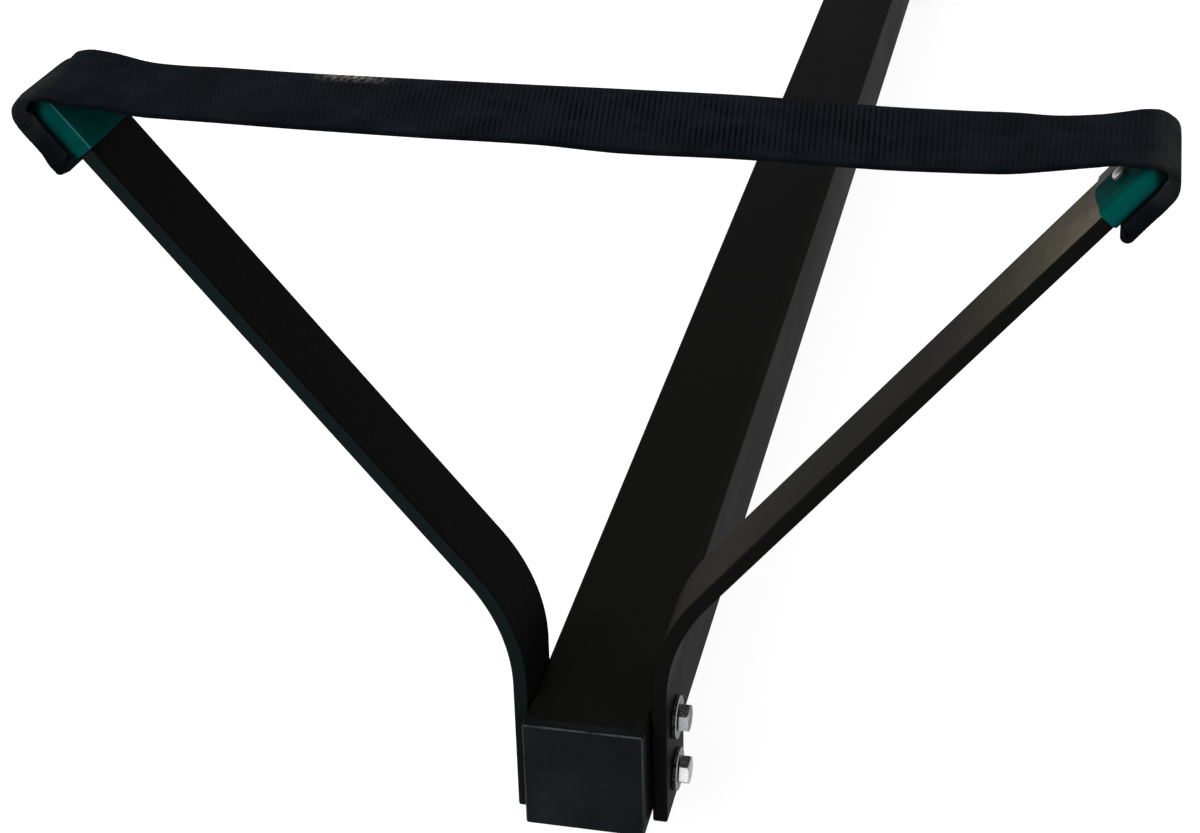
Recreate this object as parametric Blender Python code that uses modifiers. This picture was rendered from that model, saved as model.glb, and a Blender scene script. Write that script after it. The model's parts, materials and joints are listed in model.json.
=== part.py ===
"""Roof rack for one rowing shell: a long square beam with a webbing cradle at each end.

Each cradle is two bent flat-bar arms on the beam's sides, with a sleeve on each tip and a sling of tubular
webbing riveted over both tips. Its two bolts go through the right arm and the beam into tapped holes in the
left arm. Two clamps hold the beam on a car's crossbars.

The beam runs along Y, with its near end at -Y. Z is up, and the origin is at the middle of the beam's
underside. Lengths are in metres.
"""

import math

import bmesh
import bpy
from mathutils import Vector

# Beam: square tube
BEAM_LENGTH = 3.048
BEAM_SIZE = 0.0508
BEAM_WALL = 0.003175
BEAM_CORNER_RADIUS = 0.0015
BEAM_INSIDE_RADIUS = 0.00075

# End plugs: a flange flush with the tube and a finned skirt inside it
PLUG_FLANGE = 0.0049
PLUG_EDGE_RADIUS = 0.0012
PLUG_SKIRT_WALL = 0.002
PLUG_FIN_COUNT = 3
PLUG_FIN_THICKNESS = 0.0014
PLUG_FIN_REACH = 0.0012
PLUG_TO_BOLT = 0.003

# Cradle arms: flat bar, upright on the beam's side and then bent outwards
ARM_WIDTH = 0.0381
ARM_THICKNESS = 0.00635
ARM_EDGE_RADIUS = 0.0011
ARM_SETBACK = 0.0088
ARM_STANDOFF = 0.0005
ARM_FOOT_DROP = 0.0025
ARM_RISE_ABOVE_BEAM = 0.0083
ARM_BEND_RADIUS = 0.0762
ARM_LEAN = math.radians(39.1)
ARM_STRAIGHT = 0.2515

# Cradle bolts and their washers
BOLT_DIAMETER = 0.00635
BOLT_SHORT_OF_FACE = 0.0016
BOLT_POINT = 0.0006
BOLT_PITCH = 0.027
BOLT_HEAD_FLATS = 0.0111
BOLT_HEAD_HEIGHT = 0.0042
WASHER_DIAMETER = 0.0186
WASHER_THICKNESS = 0.00165
UPPER_BOLT_TURN = math.radians(44.0)
LOWER_BOLT_TURN = math.radians(50.0)

# Tip sleeves: thin caps over the arms' ends
SLEEVE_PAST_RIVET = 0.0095
SLEEVE_WALL = 0.0007
SLEEVE_EDGE_RADIUS = 0.0009

# Slings: tubular webbing pressed flat, its ends folded double on the arms' outer faces
WEB_WIDTH = 0.0508
WEB_THICKNESS = 0.0023
WEB_LOFT = 0.0012
WEB_CREST_RADIUS = 0.006
WEB_CREST_SHIFT = 0.0022
WEB_CORNER_RADIUS = 0.0055
WEB_SAG = 0.0054
WEB_SAG_LENGTH = 0.046
FLAP_PAST_RIVET = 0.0098
FLAP_TUCK_STOP = 0.002
FLAP_FOLD_GAP = 0.0008

# Sling rivets and their washers
RIVET_DIAMETER = 0.0048
RIVET_FROM_TIP = 0.015
RIVET_HEAD_DIAMETER = 0.0066
RIVET_HEAD_HEIGHT = 0.0022
RIVET_FLANGE_DIAMETER = 0.0095
RIVET_FLANGE_HEIGHT = 0.0015
RIVET_WASHER_DIAMETER = 0.0159
RIVET_WASHER_THICKNESS = 0.0012

# Crossbar clamps: two square U-bolts over the beam and a plate under the crossbar
CLAMP_SPREAD = 0.56
CROSSBAR_WIDTH_ROOM = 0.062
CROSSBAR_HEIGHT_ROOM = 0.029
U_BOLT_ROD = 0.008
U_BOLT_BEND_EXTRA = 0.0015
U_BOLT_SIDE_CLEARANCE = 0.0012
U_BOLT_END = 0.0016
CLAMP_PLATE_THICKNESS = 0.0048
CLAMP_PLATE_MARGIN = 0.0085
CLAMP_PLATE_CORNER_RADIUS = 0.006
FLANGE_NUT_FLATS = 0.013
FLANGE_NUT_HEIGHT = 0.0075
FLANGE_NUT_FLANGE_DIAMETER = 0.0172
FLANGE_NUT_CONE_HEIGHT = 0.0021
FLANGE_NUT_RIM_HEIGHT = 0.0009

# Air left between pieces that touch and round what passes through a hole
SEAT_GAP = 0.0003
HOLE_CLEARANCE = 0.0003

# How far a cutter runs past what it cuts, and how far in from its flats a hexagon's corners are trimmed
CUT_PAST = 0.001
HEX_TRIM = 0.0002

# How finely the round shapes are cut
ARM_BEND_STEPS = 12
ROUND_STEPS = 20
WASHER_STEPS = 24
SHANK_STEPS = 16
ARC_STEPS = 5
DOME_STEPS = 4
CORNER_STEPS = 3
SAG_STEPS = 8
EDGE_STEPS = 2
PLUG_EDGE_STEPS = 3

# The steepest turns shaded smooth, and the least turn that gets an edge radius, in degrees
SMOOTH_ANGLE = 35
HEX_SMOOTH_ANGLE = 25
SLING_SMOOTH_ANGLE = 60
EDGE_FROM_ANGLE = 50

# Worked out from the sizes above
BEAM_HALF = BEAM_SIZE / 2
BEAM_INSIDE = BEAM_SIZE - 2 * BEAM_WALL
BEAM_END = BEAM_LENGTH / 2
CRADLE_Y = BEAM_END - ARM_SETBACK - ARM_WIDTH / 2
ARM_MIDDLE_X = BEAM_HALF + ARM_STANDOFF + ARM_THICKNESS / 2
ARM_BEND_Z = BEAM_SIZE + ARM_RISE_ABOVE_BEAM
ARM_MIDDLE_BEND = ARM_BEND_RADIUS + ARM_THICKNESS / 2
ALONG_ARM = Vector((math.sin(ARM_LEAN), 0, math.cos(ARM_LEAN)))
OUT_OF_ARM = Vector((math.cos(ARM_LEAN), 0, -math.sin(ARM_LEAN)))
BEND_END = Vector(
    (
        ARM_MIDDLE_X + ARM_MIDDLE_BEND * (1 - math.cos(ARM_LEAN)),
        0,
        ARM_BEND_Z + ARM_MIDDLE_BEND * math.sin(ARM_LEAN),
    )
)
ARM_TIP = BEND_END + ARM_STRAIGHT * ALONG_ARM
SLEEVE_LENGTH = RIVET_FROM_TIP + SLEEVE_PAST_RIVET
FLAP_LENGTH = RIVET_FROM_TIP + FLAP_PAST_RIVET
SLEEVE_STACK = SEAT_GAP + SLEEVE_WALL
SLEEVED_FACE = ARM_THICKNESS / 2 + SLEEVE_STACK
TUCK_LAYER = SLEEVED_FACE + SEAT_GAP + WEB_THICKNESS / 2
FLAP_LAYER = TUCK_LAYER + WEB_THICKNESS + FLAP_FOLD_GAP
FLAP_FACE = FLAP_LAYER + WEB_THICKNESS / 2
TIP_LAYER = SLEEVE_STACK + SEAT_GAP + WEB_LOFT + WEB_THICKNESS / 2
BOLT_HEIGHTS = {
    "upper": BEAM_HALF + BOLT_PITCH / 2,
    "lower": BEAM_HALF - BOLT_PITCH / 2,
}
BOLT_TURNS = {"upper": UPPER_BOLT_TURN, "lower": LOWER_BOLT_TURN}
ARM_OUTER_X = ARM_MIDDLE_X + ARM_THICKNESS / 2
WASHER_SEAT_X = ARM_OUTER_X + SEAT_GAP
BOLT_SEAT_X = WASHER_SEAT_X + WASHER_THICKNESS + SEAT_GAP
BOLT_LENGTH = BOLT_SEAT_X + ARM_OUTER_X - BOLT_SHORT_OF_FACE
U_BOLT_HALF_WIDTH = BEAM_HALF + U_BOLT_SIDE_CLEARANCE + U_BOLT_ROD / 2
U_BOLT_PITCH = CROSSBAR_WIDTH_ROOM + U_BOLT_ROD
PLATE_TOP_Z = -CROSSBAR_HEIGHT_ROOM
CLAMP_NUT_Z = PLATE_TOP_Z - CLAMP_PLATE_THICKNESS - SEAT_GAP
U_BOLT_END_Z = CLAMP_NUT_Z - FLANGE_NUT_HEIGHT - U_BOLT_END

SIDES = {"left": -1, "right": 1}
ENDS = {"near": -1, "far": 1}


def clear_scene():
    for obj in list(bpy.data.objects):
        bpy.data.objects.remove(obj)


def new_collection(name):
    collection = bpy.data.collections.new(name)
    bpy.context.scene.collection.children.link(collection)
    return collection


def new_material(name, colour, roughness, metallic=0.0):
    material = bpy.data.materials.new(name)
    material.use_nodes = True
    shader = material.node_tree.nodes["Principled BSDF"]
    shader.inputs["Base Color"].default_value = (*colour, 1.0)
    shader.inputs["Roughness"].default_value = roughness
    shader.inputs["Metallic"].default_value = metallic
    return material


clear_scene()
RACK = new_collection("rowing_shell_car_rack")
CUTTERS = new_collection("rack_cutters")

FINISHES = {
    "black_powder_coat": new_material("black_powder_coat", (0.012, 0.012, 0.013), 0.45),
    "charcoal_plastic": new_material("charcoal_plastic", (0.016, 0.019, 0.026), 0.5),
    "teal_vinyl": new_material("teal_vinyl", (0.0, 0.1, 0.085), 0.4),
    "black_webbing": new_material("black_webbing", (0.012, 0.015, 0.022), 0.8),
    "zinc_plate": new_material("zinc_plate", (0.6, 0.61, 0.62), 0.3, 1.0),
    "bright_rivet": new_material("bright_rivet", (0.8, 0.8, 0.8), 0.25, 1.0),
}


def add_object(name, data, collection=RACK, parent=None, location=(0, 0, 0), rotation=(0, 0, 0)):
    obj = bpy.data.objects.new(name, data)
    collection.objects.link(obj)
    obj.parent = parent
    obj.location = location
    obj.rotation_euler = rotation
    if collection == CUTTERS:
        obj.hide_render = True
        obj.display_type = "WIRE"
    return obj


def add_piece(name, data, finish, parent=None, location=(0, 0, 0), rotation=(0, 0, 0)):
    """One sub-part, in its own finish. The material sits on the object, so that copies can share a mesh."""
    obj = add_object(name, data, RACK, parent, location, rotation)
    if not obj.material_slots:
        obj.data.materials.append(None)
    obj.material_slots[0].link = "OBJECT"
    obj.material_slots[0].material = FINISHES[finish]
    return obj


def baked(obj):
    """The evaluated shape of an object as a plain mesh. The object itself is removed."""
    graph = bpy.context.evaluated_depsgraph_get()
    mesh = bpy.data.meshes.new_from_object(obj.evaluated_get(graph))
    mesh.name = obj.name
    bpy.data.objects.remove(obj)
    return mesh


def welded(mesh):
    """The mesh with the doubled points along a curve's caps merged."""
    shape = bmesh.new()
    shape.from_mesh(mesh)
    bmesh.ops.remove_doubles(shape, verts=shape.verts, dist=0.000001)
    shape.to_mesh(mesh)
    shape.free()
    return mesh


def smooth(mesh, angle=SMOOTH_ANGLE):
    mesh.shade_smooth()
    mesh.set_sharp_from_angle(angle=math.radians(angle))
    return mesh


def add_boolean(obj, tool, operation="DIFFERENCE"):
    modifier = obj.modifiers.new(f"{operation.lower()} {tool.name}", "BOOLEAN")
    modifier.operation = operation
    modifier.solver = "EXACT"
    modifier.object = tool


def add_bevel(obj, radius, segments=EDGE_STEPS, limit="ANGLE"):
    modifier = obj.modifiers.new("edge radius", "BEVEL")
    modifier.width = radius
    modifier.segments = segments
    modifier.limit_method = limit
    modifier.angle_limit = math.radians(EDGE_FROM_ANGLE)


def box_mesh(name, size, centre=(0, 0, 0)):
    mesh = bpy.data.meshes.new(name)
    shape = bmesh.new()
    bmesh.ops.create_cube(shape, size=1)
    bmesh.ops.scale(shape, vec=size, verts=shape.verts)
    bmesh.ops.translate(shape, vec=centre, verts=shape.verts)
    shape.to_mesh(mesh)
    shape.free()
    return mesh


def prism_mesh(name, radius, low, high, steps=ROUND_STEPS):
    """A solid with a regular polygon's section along Z: a cylinder or a hexagonal prism."""
    mesh = bpy.data.meshes.new(name)
    shape = bmesh.new()
    bmesh.ops.create_cone(
        shape, cap_ends=True, segments=steps, radius1=radius, radius2=radius, depth=high - low
    )
    bmesh.ops.translate(shape, vec=(0, 0, (low + high) / 2), verts=shape.verts)
    shape.to_mesh(mesh)
    shape.free()
    return mesh


def turned(name, profile, steps=ROUND_STEPS):
    """A solid turned about Z from (radius, height) points that run down its outer side."""
    mesh = bpy.data.meshes.new(name)
    edges = [(i, i + 1) for i in range(len(profile) - 1)]
    mesh.from_pydata([(radius, 0, height) for radius, height in profile], edges, [])
    obj = add_object(name, mesh, CUTTERS)
    screw = obj.modifiers.new("turn", "SCREW")
    screw.steps = steps
    screw.render_steps = steps
    screw.use_merge_vertices = True
    screw.merge_threshold = 0.00001
    return obj


def arc(centre, radius, start, end, steps=ARC_STEPS):
    """Points round an arc in a plane, with angles in radians from the first axis towards the second."""
    return [
        (
            centre[0] + radius * math.cos(start + (end - start) * i / steps),
            centre[1] + radius * math.sin(start + (end - start) * i / steps),
        )
        for i in range(steps + 1)
    ]


def rounded_rectangle(width, height, radius):
    """A closed outline round the origin, anticlockwise."""
    x = width / 2 - radius
    y = height / 2 - radius
    corners = [(x, y, 0), (-x, y, 1), (-x, -y, 2), (x, -y, 3)]
    points = []
    for cx, cy, quarter in corners:
        start = quarter * math.pi / 2
        points += arc((cx, cy), radius, start, start + math.pi / 2, CORNER_STEPS)
    return points


def circle(centre, radius):
    return arc(centre, radius, 0, 2 * math.pi, ROUND_STEPS)[:-1]


def flat_outline(name, loops, thickness):
    """A flat shape in XY, filled between its loops, as a curve with its thickness along Z."""
    curve = bpy.data.curves.new(name, "CURVE")
    curve.dimensions = "2D"
    curve.fill_mode = "BOTH"
    curve.extrude = thickness / 2
    for loop in loops:
        spline = curve.splines.new("POLY")
        spline.points.add(len(loop) - 1)
        for point, (x, y) in zip(spline.points, loop):
            point.co = (x, y, 0, 1)
        spline.use_cyclic_u = True
    return curve


def outline_mesh(name, loops, thickness):
    """The same flat shape as a closed mesh, for pieces that are cut or joined."""
    curve = flat_outline(name, loops, thickness)
    mesh = welded(baked(add_object(name, curve, CUTTERS)))
    bpy.data.curves.remove(curve)
    return mesh


def strip_mesh(name, points, width):
    """An open strip along (x, z) points, as wide across Y as asked, before it gets its thickness."""
    curve = bpy.data.curves.new(name, "CURVE")
    curve.dimensions = "2D"
    curve.fill_mode = "NONE"
    curve.extrude = width / 2
    spline = curve.splines.new("POLY")
    spline.points.add(len(points) - 1)
    for point, (x, z) in zip(spline.points, points):
        point.co = (x, z, 0, 1)
    mesh = welded(baked(add_object(name, curve, CUTTERS)))
    bpy.data.curves.remove(curve)
    for vertex in mesh.vertices:
        x, z, across = vertex.co
        vertex.co = (x, -across, z)
    return mesh


def add_wall(obj, thickness):
    solidify = obj.modifiers.new("thickness", "SOLIDIFY")
    solidify.thickness = thickness
    solidify.offset = 0
    solidify.use_even_offset = True


def hexagon(name, flats, low, high):
    """A hexagonal prism along Z, with its top corners trimmed at 30 degrees."""
    prism = add_object(name, prism_mesh(name, flats / math.sqrt(3), low, high + CUT_PAST, 6), CUTTERS)
    top_radius = flats / 2 - HEX_TRIM
    bottom = low - CUT_PAST
    cone = [
        (0, high),
        (top_radius, high),
        (top_radius + (high - bottom) * math.sqrt(3), bottom),
        (0, bottom),
    ]
    add_boolean(prism, turned(f"{name}_trim", cone, WASHER_STEPS), "INTERSECT")
    return prism


def dome(radius, base_z, height):
    """Outline points of a rounded head, from the axis at its top down to its rim."""
    angles = [math.pi / 2 * i / DOME_STEPS for i in range(DOME_STEPS + 1)]
    return [(radius * math.sin(a), base_z + height * math.cos(a)) for a in angles]


def make_beam():
    loops = [
        rounded_rectangle(BEAM_SIZE, BEAM_SIZE, BEAM_CORNER_RADIUS),
        rounded_rectangle(BEAM_INSIDE, BEAM_INSIDE, BEAM_INSIDE_RADIUS),
    ]
    mesh = outline_mesh("beam_section", loops, BEAM_LENGTH)
    beam = add_piece("beam_tube", mesh, "black_powder_coat")
    beam.location = (0, 0, BEAM_HALF)
    beam.rotation_euler = (math.pi / 2, 0, 0)
    return beam


def make_plug(end, sign):
    """A plug that faces away from the beam. Its own +Z is the way it faces."""
    inside = BEAM_INSIDE - 2 * SEAT_GAP
    skirt = inside - 2 * PLUG_FIN_REACH
    hollow = skirt - 2 * PLUG_SKIRT_WALL
    depth = ARM_SETBACK + ARM_WIDTH / 2 - BOLT_DIAMETER / 2 - PLUG_TO_BOLT
    mesh = box_mesh(f"{end}_end_plug", (BEAM_SIZE, BEAM_SIZE, PLUG_FLANGE), (0, 0, PLUG_FLANGE / 2))
    shape = bmesh.new()
    shape.from_mesh(mesh)
    weight = shape.edges.layers.float.new("bevel_weight_edge")
    for edge in shape.edges:
        seated = all(vertex.co.z < PLUG_FLANGE / 2 for vertex in edge.verts)
        edge[weight] = 0 if seated else 1
    shape.to_mesh(mesh)
    shape.free()
    plug = add_piece(f"{end}_end_plug", mesh, "charcoal_plastic")
    plug.location = (0, sign * (BEAM_END + SEAT_GAP), BEAM_HALF)
    plug.rotation_euler = (-sign * math.pi / 2, 0, 0)
    add_bevel(plug, PLUG_EDGE_RADIUS, PLUG_EDGE_STEPS, "WEIGHT")

    blocks = [(skirt, -depth, PLUG_FLANGE / 2, "UNION")]
    fin_step = depth / (PLUG_FIN_COUNT + 0.5)
    for i in range(PLUG_FIN_COUNT):
        top = -fin_step * (i + 0.5)
        blocks.append((inside, top - PLUG_FIN_THICKNESS, top, "UNION"))
    blocks.append((hollow, -depth - CUT_PAST, -SEAT_GAP, "DIFFERENCE"))
    for i, (size, low, high, operation) in enumerate(blocks):
        name = f"{end}_plug_block_{i + 1}"
        section = rounded_rectangle(size, size, BEAM_INSIDE_RADIUS)
        block = outline_mesh(name, [section], high - low)
        tool = add_object(name, block, CUTTERS, plug, (0, 0, (low + high) / 2))
        add_boolean(plug, tool, operation)


def arm_path():
    """The middle line of a right-hand arm, from its foot to its tip, as (x, z) points."""
    centre = (ARM_MIDDLE_X + ARM_MIDDLE_BEND, ARM_BEND_Z)
    bend = arc(centre, ARM_MIDDLE_BEND, math.pi, math.pi - ARM_LEAN, ARM_BEND_STEPS)
    return [(ARM_MIDDLE_X, -ARM_FOOT_DROP), *bend, (ARM_TIP.x, ARM_TIP.z)]


def sling_half_path():
    """The middle line of a sling's right half, from mid-span to the tucked end, as (x, z) points."""

    def at(outwards, along):
        point = ARM_TIP + outwards * OUT_OF_ARM + along * ALONG_ARM
        return (point.x, point.z)

    def turn(outwards, along, radius, start, end):
        """An arc about a point by the tip. Its angles run from the arm's direction outwards."""
        return [at(out, up) for up, out in arc((along, outwards), radius, start, end)]

    crest = turn(
        WEB_CREST_SHIFT - SLEEVED_FACE,
        TIP_LAYER - WEB_CREST_RADIUS,
        WEB_CREST_RADIUS,
        -ARM_LEAN,
        0,
    )
    ease = []
    for i in range(SAG_STEPS):
        share = 1 - i / SAG_STEPS
        drop = WEB_SAG * (1 - math.cos(math.pi * share)) / 2
        ease.append((crest[0][0] - WEB_SAG_LENGTH * share, crest[0][1] - drop))
    corner = turn(
        FLAP_LAYER - WEB_CORNER_RADIUS,
        TIP_LAYER - WEB_CORNER_RADIUS,
        WEB_CORNER_RADIUS,
        0,
        math.pi / 2,
    )
    fold_radius = (FLAP_LAYER - TUCK_LAYER) / 2
    fold = turn(
        (FLAP_LAYER + TUCK_LAYER) / 2,
        fold_radius + WEB_THICKNESS / 2 - FLAP_LENGTH,
        fold_radius,
        math.pi / 2,
        3 * math.pi / 2,
    )
    return [*ease, *crest, *corner, *fold, at(TUCK_LAYER, -FLAP_TUCK_STOP)]


def hole_cutter(name, diameter, low, high, parent=None, location=(0, 0, 0), rotation=(0, 0, 0)):
    mesh = prism_mesh(name, diameter / 2 + HOLE_CLEARANCE, low, high)
    return add_object(name, mesh, CUTTERS, parent, location, rotation)


def washer_mesh(name, diameter, hole_diameter, thickness):
    """A flat washer that stands on Z = 0. Its section is a closed outline away from the axis."""
    bore = hole_diameter / 2 + HOLE_CLEARANCE
    section = [(diameter / 2, thickness), (diameter / 2, 0), (bore, 0), (bore, thickness)]
    return smooth(baked(turned(name, [*section, section[0]], WASHER_STEPS)))


def bolt_mesh():
    """A hexagon bolt with its seat on Z = 0 and its shank along -Z."""
    head = hexagon("hex_bolt", BOLT_HEAD_FLATS, 0, BOLT_HEAD_HEIGHT)
    radius = BOLT_DIAMETER / 2
    shank_profile = [
        (0, BOLT_HEAD_HEIGHT / 2),
        (radius, BOLT_HEAD_HEIGHT / 2),
        (radius, BOLT_POINT - BOLT_LENGTH),
        (radius - BOLT_POINT, -BOLT_LENGTH),
        (0, -BOLT_LENGTH),
    ]
    add_boolean(head, turned("bolt_shank", shank_profile, SHANK_STEPS), "UNION")
    return smooth(baked(head), HEX_SMOOTH_ANGLE)


def rivet_mesh():
    """A rivet along Z through a sleeved tip: its flange on the sling's washer, its round head inside."""
    seat = FLAP_FACE + 2 * SEAT_GAP + RIVET_WASHER_THICKNESS
    inner_seat = -SLEEVED_FACE - SEAT_GAP
    radius = RIVET_DIAMETER / 2
    flange = dome(RIVET_FLANGE_DIAMETER / 2, seat, RIVET_FLANGE_HEIGHT)
    head = dome(RIVET_HEAD_DIAMETER / 2, 0, RIVET_HEAD_HEIGHT)
    profile = [
        *flange,
        (radius, seat),
        (radius, inner_seat),
        *[(r, inner_seat - z) for r, z in reversed(head)],
    ]
    return smooth(baked(turned("sling_rivet", profile, SHANK_STEPS)))


def flange_nut_mesh():
    """A flange nut with its flange's seat on Z = 0."""
    nut = hexagon("flange_nut", FLANGE_NUT_FLATS, FLANGE_NUT_RIM_HEIGHT / 2, FLANGE_NUT_HEIGHT)
    rim = FLANGE_NUT_FLANGE_DIAMETER / 2
    flange_profile = [
        (0, FLANGE_NUT_CONE_HEIGHT),
        (FLANGE_NUT_FLATS / 2, FLANGE_NUT_CONE_HEIGHT),
        (rim, FLANGE_NUT_RIM_HEIGHT),
        (rim, 0),
        (0, 0),
    ]
    bore = hole_cutter("flange_nut_bore", U_BOLT_ROD, -CUT_PAST, FLANGE_NUT_HEIGHT + CUT_PAST)
    add_boolean(nut, turned("flange_nut_flange", flange_profile), "UNION")
    add_boolean(nut, bore)
    return smooth(baked(nut), HEX_SMOOTH_ANGLE)


def u_bolt_curve():
    """A square U-bolt's middle line in XZ: up one side of the beam, over it and down the other."""
    bend = BEAM_CORNER_RADIUS + U_BOLT_BEND_EXTRA + U_BOLT_ROD / 2
    top = BEAM_SIZE + SEAT_GAP + U_BOLT_ROD / 2
    x = U_BOLT_HALF_WIDTH - bend
    right = arc((x, top - bend), bend, 0, math.pi / 2)
    left = arc((-x, top - bend), bend, math.pi / 2, math.pi)
    ends = (U_BOLT_HALF_WIDTH, U_BOLT_END_Z), (-U_BOLT_HALF_WIDTH, U_BOLT_END_Z)
    points = [ends[0], *right, *left, ends[1]]
    curve = bpy.data.curves.new("u_bolt", "CURVE")
    curve.dimensions = "3D"
    curve.bevel_depth = U_BOLT_ROD / 2
    curve.bevel_resolution = 2
    curve.use_fill_caps = True
    spline = curve.splines.new("POLY")
    spline.points.add(len(points) - 1)
    spline.use_smooth = True
    for point, (px, pz) in zip(spline.points, points):
        point.co = (px, 0, pz, 1)
    return curve


def clamp_plate_curve():
    """The plate under a crossbar, with a hole for each leg of the two U-bolts."""
    width = 2 * U_BOLT_HALF_WIDTH + U_BOLT_ROD + 2 * CLAMP_PLATE_MARGIN
    length = U_BOLT_PITCH + U_BOLT_ROD + 2 * CLAMP_PLATE_MARGIN
    loops = [rounded_rectangle(width, length, CLAMP_PLATE_CORNER_RADIUS)]
    for x in (-U_BOLT_HALF_WIDTH, U_BOLT_HALF_WIDTH):
        for y in (-U_BOLT_PITCH / 2, U_BOLT_PITCH / 2):
            loops.append(circle((x, y), U_BOLT_ROD / 2 + HOLE_CLEARANCE))
    return flat_outline("clamp_plate", loops, CLAMP_PLATE_THICKNESS)


def make_arm(prefix, side, cradle):
    points = [(SIDES[side] * x, z) for x, z in arm_path()]
    name = f"{prefix}_{side}_arm"
    arm = add_piece(name, strip_mesh(name, points, ARM_WIDTH), "black_powder_coat", cradle)
    add_wall(arm, ARM_THICKNESS)
    add_bevel(arm, ARM_EDGE_RADIUS)
    return arm


def make_sleeve(prefix, side, tip):
    """A thin cap over an arm's end. In the tip's frame the arm comes up along Z and ends at Z = 0."""
    name = f"{prefix}_{side}_tip_sleeve"
    size = (
        ARM_THICKNESS + 2 * SLEEVE_STACK,
        ARM_WIDTH + 2 * SLEEVE_STACK,
        SLEEVE_LENGTH + SLEEVE_STACK,
    )
    mesh = box_mesh(name, size, (0, 0, (SLEEVE_STACK - SLEEVE_LENGTH) / 2))
    sleeve = add_piece(name, mesh, "teal_vinyl", tip)
    add_bevel(sleeve, SLEEVE_EDGE_RADIUS)
    hollow_size = (
        ARM_THICKNESS + 2 * SEAT_GAP,
        ARM_WIDTH + 2 * SEAT_GAP,
        SLEEVE_LENGTH + SEAT_GAP + CUT_PAST,
    )
    hollow_centre = (0, 0, (SEAT_GAP - SLEEVE_LENGTH - CUT_PAST) / 2)
    hollow = box_mesh(f"{name}_hollow", hollow_size, hollow_centre)
    tool = add_object(f"{name}_hollow", hollow, CUTTERS, tip)
    add_boolean(sleeve, tool)
    return sleeve


def make_sling(prefix, cradle):
    half = sling_half_path()
    points = [(-x, z) for x, z in reversed(half)] + half
    name = f"{prefix}_sling"
    mesh = smooth(strip_mesh(name, points, WEB_WIDTH), SLING_SMOOTH_ANGLE)
    sling = add_piece(name, mesh, "black_webbing", cradle)
    add_wall(sling, WEB_THICKNESS)
    return sling


def make_tip(prefix, side, cradle):
    """A frame at the end of an arm: +Z on along the arm and +X out of its outer face."""
    sign = SIDES[side]
    tip = add_object(f"{prefix}_{side}_tip", None, RACK, cradle)
    tip.location = (sign * ARM_TIP.x, 0, ARM_TIP.z)
    tip.rotation_euler = (0, ARM_LEAN, 0 if sign > 0 else math.pi)
    return tip


def make_cradle(prefix, beam, meshes):
    cradle = add_object(f"{prefix}_cradle", None)
    cradle.location = (0, ENDS[prefix] * CRADLE_Y, 0)
    sideways = (0, math.pi / 2, 0)
    sling = make_sling(prefix, cradle)
    arms = {side: make_arm(prefix, side, cradle) for side in SIDES}

    for side, arm in arms.items():
        tip = make_tip(prefix, side, cradle)
        sleeve = make_sleeve(prefix, side, tip)
        through = (0, 0, -RIVET_FROM_TIP)
        drill = hole_cutter(
            f"{prefix}_{side}_rivet_drill",
            RIVET_DIAMETER,
            -SLEEVED_FACE - CUT_PAST,
            FLAP_FACE + CUT_PAST,
            tip,
            through,
            sideways,
        )
        for drilled in (arm, sleeve, sling):
            add_boolean(drilled, drill)
        add_piece(
            f"{prefix}_{side}_sling_rivet", meshes["rivet"], "bright_rivet", tip, through, sideways
        )
        add_piece(
            f"{prefix}_{side}_rivet_washer",
            meshes["rivet_washer"],
            "zinc_plate",
            tip,
            (FLAP_FACE + SEAT_GAP, 0, -RIVET_FROM_TIP),
            sideways,
        )

    for level, height in BOLT_HEIGHTS.items():
        drill = hole_cutter(
            f"{prefix}_{level}_bolt_drill",
            BOLT_DIAMETER,
            -ARM_OUTER_X - CUT_PAST,
            ARM_OUTER_X + CUT_PAST,
            cradle,
            (0, 0, height),
            sideways,
        )
        for drilled in (beam, *arms.values()):
            add_boolean(drilled, drill)
        turn = BOLT_TURNS[level]
        seats = {"bolt": BOLT_SEAT_X, "bolt_washer": WASHER_SEAT_X}
        for kind, seat in seats.items():
            name = f"{prefix}_{level}_{kind}"
            piece = add_piece(name, meshes[kind], "zinc_plate", cradle, (seat, 0, height))
            piece.rotation_mode = "ZYX"
            piece.rotation_euler = (0, math.pi / 2, turn)


def make_clamp(prefix, shapes):
    clamp = add_object(f"{prefix}_clamp", None)
    clamp.location = (0, ENDS[prefix] * CLAMP_SPREAD / 2, 0)
    plate_z = PLATE_TOP_Z - CLAMP_PLATE_THICKNESS / 2
    add_piece(f"{prefix}_clamp_plate", shapes["plate"], "black_powder_coat", clamp, (0, 0, plate_z))
    for place, y in (("front", -U_BOLT_PITCH / 2), ("rear", U_BOLT_PITCH / 2)):
        name = f"{prefix}_clamp_{place}"
        add_piece(f"{name}_u_bolt", shapes["u_bolt"], "zinc_plate", clamp, (0, y, 0))
        for side, sign in SIDES.items():
            add_piece(
                f"{name}_{side}_nut",
                shapes["flange_nut"],
                "zinc_plate",
                clamp,
                (sign * U_BOLT_HALF_WIDTH, y, CLAMP_NUT_Z),
                (math.pi, 0, 0),
            )


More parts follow.
